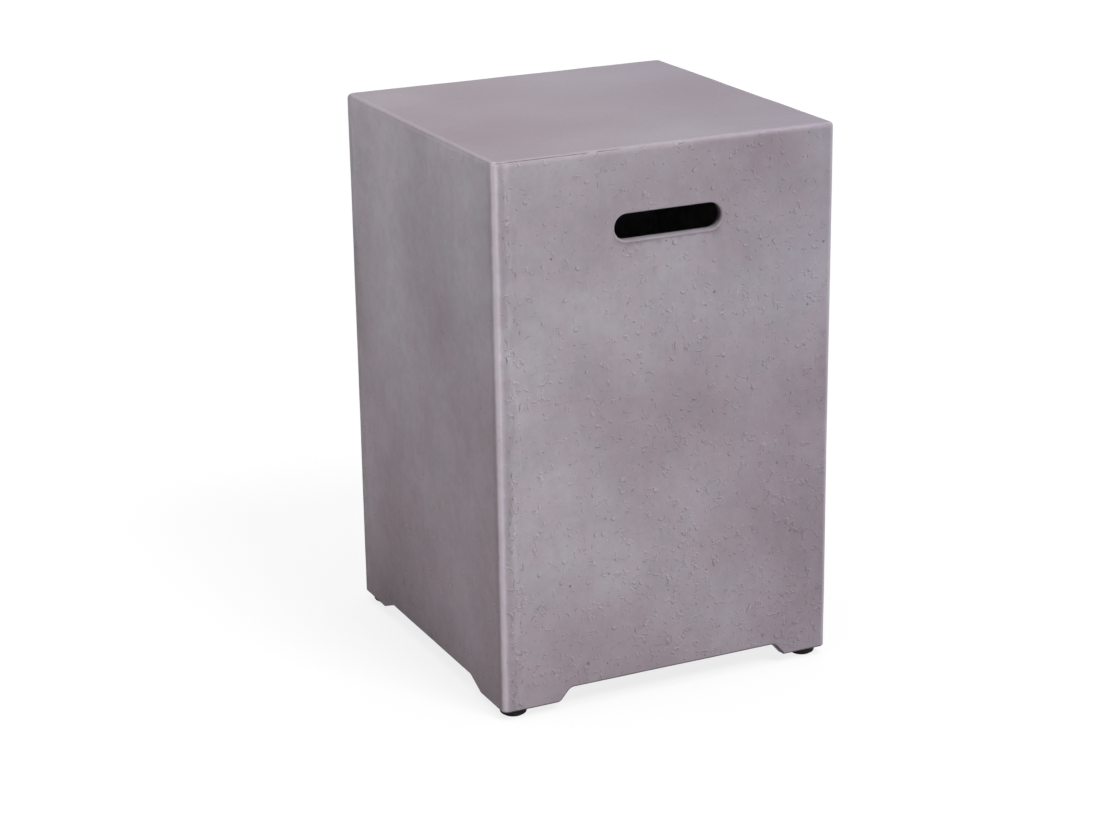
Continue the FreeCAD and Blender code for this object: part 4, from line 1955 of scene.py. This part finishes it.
@dataclass(frozen=True)
class SmoothConcrete(SurfaceFinish):
    """Cast concrete off a smooth mould, with the colour of its cement clouded and painted light and
    shade laid on it.

    Attributes:
        half: Half the cover's width.
        top: The height of its top.
    """

    name: str = "smooth_concrete"
    roughness: float = 0.72
    pale: Colour = (0.311, 0.276, 0.308, 1)
    deep: Colour = (0.285, 0.251, 0.281, 1)
    half: float = 0.205
    top: float = 0.627

    EDGE = (1.15, 1.15, 1.16, 1)
    # The upright edges' paler wear together with a painted highlight, stronger upwards and to the
    # left.
    ARRIS_WEAR_AND_HIGHLIGHT = (1.54, 1.55, 1.55, 1)
    BESIDE = (0.9, 0.895, 0.9, 1)
    HOLLOW_SHADE = (0.6, 0.57, 0.61, 1)
    # The tint of painted shade, laid where the grime mark says.
    PAINTED_SHADE_TINT = (0.45, 0.42, 0.44, 1)
    # A painted highlight on the raised flaws.
    PAINTED_HIGHLIGHT = (1.07, 1.07, 1.08, 1)
    DEEP_HUE = (1.035, 0.955, 0.965, 1)
    COOL_END = (0.965, 0.985, 1.02, 1)
    PALE_HUE = (0.99, 1.005, 1.0, 1)
    BAND_WIDTH = 7.6 * MM
    TOP_EVENNESS = 0.75
    PATCH_GLOSS = -0.08
    BUMP_DEPTH = 0.12 * MM
    RELIEF_LIGHT = 0.26
    DRAG_HEIGHT, LUMP_HEIGHT, WRINKLE_HEIGHT = 2.5, 4.5, 4.0

    def feeds(self, graph: Graph) -> Feeds:
        """Adds the finish's own nodes.

        Args:
            graph: The material's tree.

        Returns:
            What goes into the shader.
        """
        tone = self.tone(graph, 22.0)
        grain = graph.effect(FineGrain(), scale=900.0, contrast=0.3)
        band = graph.effect(EdgeBand(), half_side=self.half, top=self.top, width=self.BAND_WIDTH)
        streaks = graph.effect(Streaks(), scale=110.0, squeeze=0.07)
        marks = {
            mark.name: graph.add("ShaderNodeAttribute", attribute_name=mark.name).outputs["Fac"]
            for mark in fields(Mark)
        }
        facing = graph.add("ShaderNodeTexCoord").outputs["Normal"]
        level = graph.step(graph.axes(facing)["Z"], 0.6, 0.95)
        upright = graph.rest(level)
        off_arris = graph.times(upright, graph.rest(band["Upright"]))
        wrinkles = self.wrinkles(graph, off_arris, marks["drag"])
        drawn = graph.times(streaks["Swing"], upright)
        even_tone = tuple((a + b) / 2 for a, b in zip(self.pale, self.deep))
        colour = graph.blend(graph.times(level, self.TOP_EVENNESS), tone["Color"], even_tone)
        colour = self.worn(graph, colour, marks, band, upright)
        strength = graph.scaled(marks["drag"], 0.45, 0.04)
        swing = graph.times(drawn, strength)
        # The wrinkles' Relief paints a highlight and a shade into the colour.
        swing = graph.scaled(wrinkles["Relief"], self.RELIEF_LIGHT, swing)
        # The light multiplied into the colour: the tone with its painted falloff and clouds, the
        # streaks, and the wrinkles' painted highlight and shade.
        light = graph.math("EXPONENT", graph.math("ADD", marks["tone"], swing))
        dragged = graph.times(marks["drag"], drawn)
        height = graph.scaled(dragged, self.DRAG_HEIGHT, grain["Height"])
        lumps = graph.times(graph.cloud(graph.place(), 75.0, 2.0), upright)
        height = graph.scaled(lumps, self.LUMP_HEIGHT, height)
        height = graph.scaled(wrinkles["Height"], self.WRINKLE_HEIGHT, height)
        return {
            "Base Color": graph.shaded(colour, graph.times(light, grain["Speckle"])),
            "Roughness": graph.scaled(tone["Patch"], self.PATCH_GLOSS, self.roughness),
            "Specular IOR Level": 0.35,
            "Normal": graph.bump(height, self.BUMP_DEPTH),
        }

    def worn(
        self, graph: Graph, colour: Socket, marks: Sockets, band: Sockets, upright: Socket
    ) -> Socket:
        """Lays hues, worn edges with a painted highlight on the upright ones, scuffs, a painted
        highlight on raised flaws and painted shade on the clouded colour.

        Args:
            graph: The material's tree.
            colour: The clouded colour.
            marks: What is read at the vertices.
            band: The edges' strips.
            upright: 1 on the walls, 0 on the top.

        Returns:
            The colour.
        """
        hue = graph.blend(graph.step(marks["tone"], -0.25, 0.15), self.DEEP_HUE, self.PALE_HUE)
        colour = graph.tint(1.0, colour, hue)
        place = graph.axes(graph.place())
        cool = graph.step(place["X"], -0.1, 0.2)
        colour = graph.tint(cool, colour, self.COOL_END)
        colour = graph.tint(band["Mask"], colour, self.EDGE)
        # The upright edges get their wear and a painted highlight, paler upwards and weaker to the
        # right.
        fade = graph.scaled(cool, -0.7, 1.0)
        arris_wear_and_highlight = graph.times(fade, graph.scaled(place["Z"], 0.72, 0.55))
        colour = graph.tint(graph.times(band["Upright"], arris_wear_and_highlight), colour, self.ARRIS_WEAR_AND_HIGHLIGHT)
        beside = graph.times(graph.times(band["Beside"], fade), upright)
        colour = graph.tint(beside, colour, self.BESIDE)
        scuffs = graph.effect(Scuffs(), scale=26.0, width=0.006, amount=0.46)
        share = graph.times(scuffs["Mask"], graph.scaled(marks["drag"], 0.35, 0.3))
        colour = graph.blend(share, colour, self.deep)
        # A painted highlight on raised flaws, then painted shade in pinholes, the seam, the slot
        # and the bottom edge's rounding.
        colour = graph.tint(graph.step(marks["relief"], 0.3, 1.0), colour, self.PAINTED_HIGHLIGHT)
        hollow = graph.step(graph.times(marks["relief"], -1.0), 0.0, 1.0)
        colour = graph.tint(hollow, colour, self.HOLLOW_SHADE)
        # Painted shade, where the grime mark says.
        return graph.tint(marks["grime"], colour, self.PAINTED_SHADE_TINT)

    def wrinkles(self, graph: Graph, share: Source, drag: Source) -> Sockets:
        """Adds the wrinkles, which get denser downwards, to the right and where dragged.

        Args:
            graph: The material's tree.
            share: 1 on the walls, 0 on the top and the upright edges.
            drag: How far the surface was dragged.

        Returns:
            What the effect puts out, held to that share.
        """
        axes = graph.axes(graph.place())
        amount = graph.scaled(axes["Z"], -0.12, 0.51)
        amount = graph.scaled(axes["X"], 0.12, amount)
        amount = graph.scaled(drag, 0.12, amount)
        found = graph.effect(CastWrinkles(), scale=62.0, width=0.085, amount=amount)
        return {name: graph.times(value, share) for name, value in found.items()}


@dataclass(frozen=True)
class RawConcrete(SurfaceFinish):
    """Concrete as it set against a rough core, open-pored and dusty.

    Attributes:
        scale: Colour patches per metre.
    """

    name: str = "raw_concrete"
    roughness: float = 0.93
    pale: Colour = (0.34, 0.312, 0.33, 1)
    deep: Colour = (0.225, 0.203, 0.218, 1)
    scale: float = 14.0

    DUST = (0.45, 0.43, 0.43, 1)

    def feeds(self, graph: Graph) -> Feeds:
        """Adds the finish's own nodes.

        Args:
            graph: The material's tree.

        Returns:
            What goes into the shader.
        """
        grain = graph.effect(FineGrain(), scale=420.0, contrast=0.9)
        dust = graph.effect(Dust(), bottom=0.0, top=0.12, scale=40.0)
        laid = graph.times(dust["Mask"], 0.5)
        colour = graph.blend(laid, self.tone(graph, self.scale)["Color"], self.DUST)
        return {
            "Base Color": graph.shaded(colour, grain["Speckle"]),
            "Roughness": self.roughness,
            "Specular IOR Level": 0.25,
            "Normal": graph.bump(grain["Height"], 0.7 * MM),
        }


@dataclass(frozen=True)
class PlatedSteel(SurfaceFinish):
    """Steel under zinc, with a faint bloom and handling marks."""

    name: str = "plated_steel"
    roughness: float = 0.34
    pale: Colour = (0.66, 0.67, 0.68, 1)
    deep: Colour = (0.48, 0.49, 0.5, 1)

    def feeds(self, graph: Graph) -> Feeds:
        """Adds the finish's own nodes.

        Args:
            graph: The material's tree.

        Returns:
            What goes into the shader.
        """
        tone = self.tone(graph, 160.0)
        grain = graph.effect(FineGrain(), scale=2200.0, contrast=0.3)
        scuffs = graph.effect(Scuffs(), scale=220.0, width=0.03, amount=0.55)
        worn = graph.scaled(scuffs["Mask"], 0.2, self.roughness)
        return {
            "Base Color": graph.blend(scuffs["Mask"], tone["Color"], self.deep),
            "Metallic": 1.0,
            "Roughness": graph.scaled(tone["Patch"], -0.1, worn),
            "Normal": graph.bump(grain["Height"], 0.03 * MM),
        }


@dataclass(frozen=True)
class MouldedPolymer(SurfaceFinish):
    """Black moulded plastic or rubber, dusty where it is low.

    Attributes:
        grain: The grain's scale.
        relief: The grain's depth.
        dusty: How much dust shows.
    """

    name: str = "moulded_plastic"
    roughness: float = 0.5
    pale: Colour = (0.014, 0.01, 0.012, 1)
    deep: Colour = (0.008, 0.006, 0.007, 1)
    grain: float = 1600.0
    relief: float = 0.05 * MM
    dusty: float = 0.05

    DUST = (0.3, 0.28, 0.27, 1)
    DUST_TOP = 12 * MM

    def feeds(self, graph: Graph) -> Feeds:
        """Adds the finish's own nodes.

        Args:
            graph: The material's tree.

        Returns:
            What goes into the shader.
        """
        grain = graph.effect(FineGrain(), scale=self.grain, contrast=0.5)
        scuffs = graph.effect(Scuffs(), scale=120.0, width=0.012, amount=0.42)
        dust = graph.effect(Dust(), bottom=0.0, top=self.DUST_TOP, scale=120.0)
        laid = graph.times(dust["Mask"], self.dusty)
        colour = graph.blend(laid, self.tone(graph, 90.0)["Color"], self.DUST)
        matt = graph.scaled(scuffs["Mask"], 0.15, self.roughness)
        return {
            "Base Color": graph.blend(graph.times(scuffs["Mask"], 0.03), colour, self.DUST),
            "Roughness": graph.scaled(laid, 0.3, matt),
            "Specular IOR Level": 0.15,
            "Normal": graph.bump(grain["Height"], self.relief),
        }


@dataclass(frozen=True)
class Ring:
    """One ring of a turned piece.

    Attributes:
        radius: Its radius, or half its width across flats.
        height: Its height.
        flats: How many flats it has, or 0 where it is round.
    """

    radius: float
    height: float
    flats: int = 0

    def reach(self, angle: float) -> float:
        """How far the ring lies from the axis at an angle.

        Args:
            angle: The angle.

        Returns:
            The reach.
        """
        if not self.flats:
            return self.radius
        part = tau / self.flats
        return self.radius / cos((angle + part / 2) % part - part / 2)


@dataclass
class TurnedPiece:
    """A piece that is round about an upright axis.

    Attributes:
        name: Its name.
        axis: The X and Y of its axis.
        rings: Its rings, round the section from the axis back to the axis.
        parts: How many columns go round.
    """

    name: str
    axis: Flat
    rings: list[Ring]
    parts: int = 48

    SHARP = radians(32)

    def build(self, reach: Callable[[Ring, float], float] = Ring.reach) -> bpy.types.Object:
        """Builds the piece.

        Args:
            reach: How far a ring lies from the axis at an angle.

        Returns:
            The object, linked to the scene.
        """
        made = SurfaceBuilder()
        rows = []
        for ring in self.rings:
            if ring.radius == 0:
                rows.append([made.add((*self.axis, ring.height))] * (self.parts + 1))
                continue
            row = []
            for i in range(self.parts):
                angle = tau * i / self.parts
                far = reach(ring, angle)
                x = self.axis[0] + far * cos(angle)
                y = self.axis[1] + far * sin(angle)
                row.append(made.add((x, y, ring.height)))
            rows.append(row + row[:1])
        made.strip(rows, Finish.OUTSIDE)
        made.faces = [tuple(dict.fromkeys(face)) for face in made.faces]
        piece = made.to_object(self.name, [])
        piece.data.set_sharp_from_angle(angle=self.SHARP)
        return piece


@dataclass
class CornerFoot:
    """One corner's block, nut, stud, base and sole.

    Attributes:
        corner: Which corner.
        pitch: The thread's pitch.
        thread_depth: How deep the thread is cut.
        rounding: The radius of the base's lower edge.
    """

    corner: Corner
    pitch: float = 1.25 * MM
    thread_depth: float = 0.6 * MM
    rounding: float = 2.4 * MM

    ROUND_PARTS = 6
    ROWS_PER_PITCH = 8
    # The corner blocks' concrete, darker than the cavity's own to paint the shade that falls there.
    BLOCK_TONES = ((0.26, 0.25, 0.245, 1), (0.15, 0.145, 0.14, 1))
    RUBBER_TONES = ((0.03, 0.029, 0.029, 1), (0.018, 0.018, 0.018, 1))
    STEEL_TONES = ((0.6, 0.6, 0.61, 1), (0.42, 0.42, 0.43, 1))
    HEAD_GAP, HEAD_DROP = 0.3 * MM, 0.1 * MM
    SOLE_GAP = 0.15 * MM
    LIP, LID = 1.1 * MM, 1.5 * MM
    LIP_CHAMFER, RECESS_CHAMFER = 0.3 * MM, 0.2 * MM
    UPPER_ROUNDING = 1.2 * MM
    SOLE_CHAMFER = 0.5 * MM
    GROOVES = (2.2 * MM, 5.4 * MM, 8.6 * MM)
    GROOVE_SECTION = ((0, 0), (0.3 * MM, 0.7 * MM), (1.1 * MM, 0.7 * MM), (1.4 * MM, 0))
    SHANK, HEAD, HEAD_CHAMFER = 4 * MM, 3 * MM, 0.4 * MM
    CHAMFER = 0.6 * MM
    KEY, KEY_DEPTH, KEY_FLATS = 2 * MM, 5 * MM, 6
    THREAD_FLANKS = (0.08, 0.85)
    STUD_PARTS = 24

    def node(self, kind: str) -> str:
        """The name of one of this corner's nodes."""
        return f"{kind}_{self.corner.value}"

    def turned(self, name: str, rings: list[Ring], parts: int = 48) -> TurnedPiece:
        """A piece round this foot's axis, that carries the corner in its name."""
        low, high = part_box(self.node("foot_base"))
        axis = ((low[0] + high[0]) / 2, (low[1] + high[1]) / 2)
        return TurnedPiece(self.node(name), axis, rings, parts)

    def build(self) -> None:
        """Builds and dresses all five pieces.
        """
        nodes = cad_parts
        # The blocks' tones are darkened to paint the cavity's shade.
        block = RawConcrete("block_concrete", 0.95, *self.BLOCK_TONES, 60.0)
        block.dress(nodes[self.node("corner_block")])
        PlatedSteel("zinc_plating").dress(nodes[self.node("threaded_insert")])
        rubber = MouldedPolymer("sole_rubber", 0.82, *self.RUBBER_TONES, 900.0, 0.12 * MM)
        steel = PlatedSteel("stud_steel", 0.28, *self.STEEL_TONES)
        foot, stud = f"foot_{self.corner.value}", f"stud_{self.corner.value}"
        self.place(self.base(), MouldedPolymer(), "foot_base", foot, "black_plastic")
        self.place(self.sole(), rubber, "foot_sole", foot, "sole_rubber")
        self.place(self.stud(), steel, "foot_stud", stud, "stud_steel")

    def place(
        self, piece: bpy.types.Object, finish: SurfaceFinish, kind: str, body: str, slot: str
    ) -> None:
        """Dresses a piece and puts it in the place of its node.

        Args:
            piece: The piece.
            finish: Its finish.
            kind: The node that it stands for, without the corner.
            body: The body that it rides on.
            slot: The name of a material slot; not used.
        """
        finish.dress(piece)
        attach(piece, body)
        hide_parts(self.node(kind))
        LOG.info("%s: %d faces", piece.name, len(piece.data.polygons))

    def rounded(self, radius: float, height: float, size: float) -> list[Ring]:
        """The rings of a rounded edge, from its level face to its wall.

        Args:
            radius: The edge's radius before it is rounded.
            height: Its height.
            size: How large the rounding is, below 0 where the level face looks down.

        Returns:
            The rings along the rounding.
        """
        rings = []
        for angle in even(0, QUARTER, self.ROUND_PARTS):
            across = radius - abs(size) * (1 - sin(angle))
            rings.append(Ring(across, height - size * (1 - cos(angle))))
        return rings

    def base(self) -> bpy.types.Object:
        """Builds the moulded base: a pocket for the stud's head and a recess for the sole.

        Returns:
            The piece.
        """
        low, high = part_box(self.node("foot_base"))
        head_low, head_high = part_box(self.node("foot_stud"))
        sole_low, sole_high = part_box(self.node("foot_sole"))
        rim = (high[0] - low[0]) / 2
        pocket = (head_high[0] - head_low[0]) / 2 + self.HEAD_GAP
        recess = (sole_high[0] - sole_low[0]) / 2 + self.SOLE_GAP
        lip, floor, lid = pocket - self.LIP, head_low[2] - self.HEAD_DROP, high[2] - self.LID
        rings = [Ring(0, floor), Ring(pocket, floor), Ring(pocket, lid), Ring(lip, lid)]
        rings += [Ring(lip, high[2] - self.LIP_CHAMFER), Ring(lip + self.LIP_CHAMFER, high[2])]
        rings += self.rounded(rim, high[2], self.UPPER_ROUNDING)
        rings += reversed(self.rounded(rim, low[2], -self.rounding))
        rings.append(Ring(recess + self.RECESS_CHAMFER, low[2]))
        rings.append(Ring(recess, low[2] + self.RECESS_CHAMFER))
        rings += [Ring(recess, sole_high[2]), Ring(0, sole_high[2])]
        return self.turned("moulded_base", rings).build()

    def sole(self) -> bpy.types.Object:
        """Builds the rubber sole with its round grooves.

        Returns:
            The piece.
        """
        low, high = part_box(self.node("foot_sole"))
        rim = (high[0] - low[0]) / 2
        rings = [Ring(0, high[2]), Ring(rim, high[2]), Ring(rim, low[2] + self.SOLE_CHAMFER)]
        rings.append(Ring(rim - self.SOLE_CHAMFER, low[2]))
        for start in self.GROOVES:
            for within, deep in self.GROOVE_SECTION:
                rings.append(Ring(rim - start - within, low[2] + deep))
        rings.append(Ring(0, low[2]))
        return self.turned("grooved_sole", rings).build()

    def stud(self) -> bpy.types.Object:
        """Builds the stud with its head, its thread and the key's socket in its top.

        Returns:
            The piece.
        """
        low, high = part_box(self.node("foot_stud"))
        head = (high[0] - low[0]) / 2
        head_top, eased = low[2] + self.HEAD, self.HEAD_CHAMFER
        rings = [Ring(0, low[2]), Ring(head - eased, low[2]), Ring(head, low[2] + eased)]
        rings += [Ring(head, head_top - eased), Ring(head - eased, head_top)]
        rings.append(Ring(self.SHANK - self.thread_depth, head_top))
        first, last = head_top + self.pitch, high[2] - self.CHAMFER
        levels = spread(first, last, self.pitch / self.ROWS_PER_PITCH)
        rings += [Ring(self.SHANK, height) for height in levels]
        rings.append(Ring(self.SHANK - self.CHAMFER, high[2]))
        key_end = high[2] - self.KEY_DEPTH
        rings += [Ring(self.KEY, height, self.KEY_FLATS) for height in (high[2], key_end)]
        rings.append(Ring(0, key_end))

        def cut(ring: Ring, angle: float) -> float:
            """How far the thread leaves a ring from the axis.

            Args:
                ring: The ring.
                angle: The angle.

            Returns:
                The reach.
            """
            if ring.radius != self.SHANK:
                return ring.reach(angle)
            if not first < ring.height < last:
                return self.SHANK - self.thread_depth
            turns = (ring.height - first) / self.pitch - angle / tau
            wave = 0.5 + 0.5 * cos(tau * turns)
            return self.SHANK - self.thread_depth * (1 - smooth(wave, *self.THREAD_FLANKS))

        return self.turned("threaded_stud", rings, self.STUD_PARTS).build(cut)


@dataclass(frozen=True)
class Studio:
    """A pale floor, soft light and the camera.

    Attributes:
        floor_half: Half the floor's width.
        azimuth: The way the camera looks, from +Y towards +X, in degrees.
        elevation: How far it looks down, in degrees.
        roll: How far it is turned about its own axis, in degrees.
        spot: Where it stands.
        focal: Its focal length in pixels of the photograph.
        width: The photograph's width in pixels.
    """

    floor_half: float = 14.0
    azimuth: float = 25.334
    elevation: float = 18.463
    roll: float = -0.862
    spot: Point = (-1.2975, -2.6424, 1.2501)
    focal: float = 2673.08
    width: float = 1100.0

    SENSOR = 36.0
    AMBIENT = 0.14
    WHITE = (1, 1, 1, 1)
    FLOOR_STEP = 2.0
    FAR = 100

    def build(self) -> None:
        """Builds it all.
        """
        self.floor()
        self.light()
        self.camera()

    def floor(self) -> None:
        """Lays the floor."""
        made = SurfaceBuilder()
        steps = spread(-self.floor_half, self.floor_half, self.FLOOR_STEP)
        rows = [[made.add((x, y, 0)) for x in steps] for y in steps]
        made.strip(rows, Finish.OUTSIDE)
        ground = made.to_object("ground", [FloorPaint("floor_paint", 0.6).material()])
        ground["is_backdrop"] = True

    def light(self) -> None:
        """Sets the world's light and the lamps."""
        world = bpy.data.worlds.new("pale_room")
        world.use_nodes = True
        graph = Graph(world.node_tree)
        seen = graph.add("ShaderNodeLightPath").outputs["Is Camera Ray"]
        strength = graph.scaled(seen, 1 - self.AMBIENT, self.AMBIENT)
        feeds = {"Color": self.WHITE, "Strength": strength}
        background = graph.add("ShaderNodeBackground", feeds)
        output = world.node_tree.nodes["World Output"]
        world.node_tree.links.new(background.outputs["Background"], output.inputs["Surface"])
        bpy.context.scene.world = world
        self.sun("overhead", (0.0, 0.0, 1), 2.2, 60)
        self.sun("key", (0.35, -1, 1.3), 1.9, 20)
        bpy.context.scene.view_settings.view_transform = "Standard"

    def sun(self, name: str, way: Point, strength: float, spread_angle: float) -> None:
        """Adds a soft distant lamp.

        Args:
            name: Its name.
            way: The direction that it stands in.
            strength: How bright it is.
            spread_angle: How wide it looks, in degrees.
        """
        lamp = bpy.data.lights.new(name, "SUN")
        lamp.energy = strength
        lamp.angle = radians(spread_angle)
        made = bpy.data.objects.new(name, lamp)
        made.rotation_euler = Vector(way).to_track_quat("Z", "Y").to_euler()
        bpy.context.scene.collection.objects.link(made)

    def camera(self) -> None:
        """Sets up the camera."""
        az, el, roll = (radians(a) for a in (self.azimuth, self.elevation, self.roll))
        ahead = Vector((sin(az) * cos(el), cos(az) * cos(el), -sin(el)))
        right = Vector((cos(az), -sin(az), 0))
        up = right.cross(ahead)
        rolled_right = right * cos(roll) + up * sin(roll)
        rolled_up = up * cos(roll) - right * sin(roll)
        turned = Matrix((rolled_right, rolled_up, -ahead)).transposed().to_4x4()
        lens = bpy.data.cameras.new("camera")
        lens.sensor_fit = "HORIZONTAL"
        lens.sensor_width = self.SENSOR
        lens.lens = self.focal * self.SENSOR / self.width
        lens.clip_end = self.FAR
        made = bpy.data.objects.new("camera", lens)
        made.matrix_world = Matrix.Translation(self.spot) @ turned
        bpy.context.scene.collection.objects.link(made)
        bpy.context.scene.camera = made


@dataclass(frozen=True)
class FloorPaint(SurfaceFinish):
    """The floor's even pale paint, which shows white to the camera.

    Attributes:
        glow: The share of the floor's look that comes from a glow.
    """

    glow: float = 0.82

    def surface(self, graph: Graph, shader: bpy.types.Node) -> Socket:
        """The paint, mixed with the glow where the camera sees it.

        Args:
            graph: The material's tree.
            shader: The plain shader.

        Returns:
            The surface.
        """
        glow = graph.add("ShaderNodeEmission", {"Color": Studio.WHITE, "Strength": 1.0})
        seen = graph.add("ShaderNodeLightPath").outputs["Is Camera Ray"]
        share = graph.times(seen, self.glow)
        feeds = {0: share, 1: shader.outputs["BSDF"], 2: glow.outputs["Emission"]}
        return graph.add("ShaderNodeMixShader", feeds).outputs["Shader"]

    def feeds(self, graph: Graph) -> Feeds:
        """Adds the finish's own nodes.

        Args:
            graph: The material's tree.

        Returns:
            What goes into the shader.
        """
        return {"Base Color": self.pale, "Roughness": self.roughness}


def build_cover() -> None:
    """Builds the casting in the place of its node."""
    low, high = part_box("cast_shell")
    _, block_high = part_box("corner_block_back_right")
    shell = CastShell(high[0], high[2], low[2], high[0] - block_high[0])
    finishes = [SmoothConcrete(half=high[0], top=high[2]).material(), RawConcrete().material()]
    casting = shell.build().to_object("concrete_casting", finishes)
    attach(casting, "cover")
    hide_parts("cast_shell")
    LOG.info("concrete_casting: %d faces", len(casting.data.polygons))


def main() -> None:
    """Builds the casting, the feet and the studio."""
    build_cover()
    for corner in Corner:
        CornerFoot(corner).build()
    Studio().build()


if __name__ == "__main__":
    logging.basicConfig(level=logging.INFO, format="%(message)s")
    main()
    sizes = {"cad": CAD_BOX, "visual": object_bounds()}
    {name: [list(corner) for corner in box] for name, box in sizes.items()}
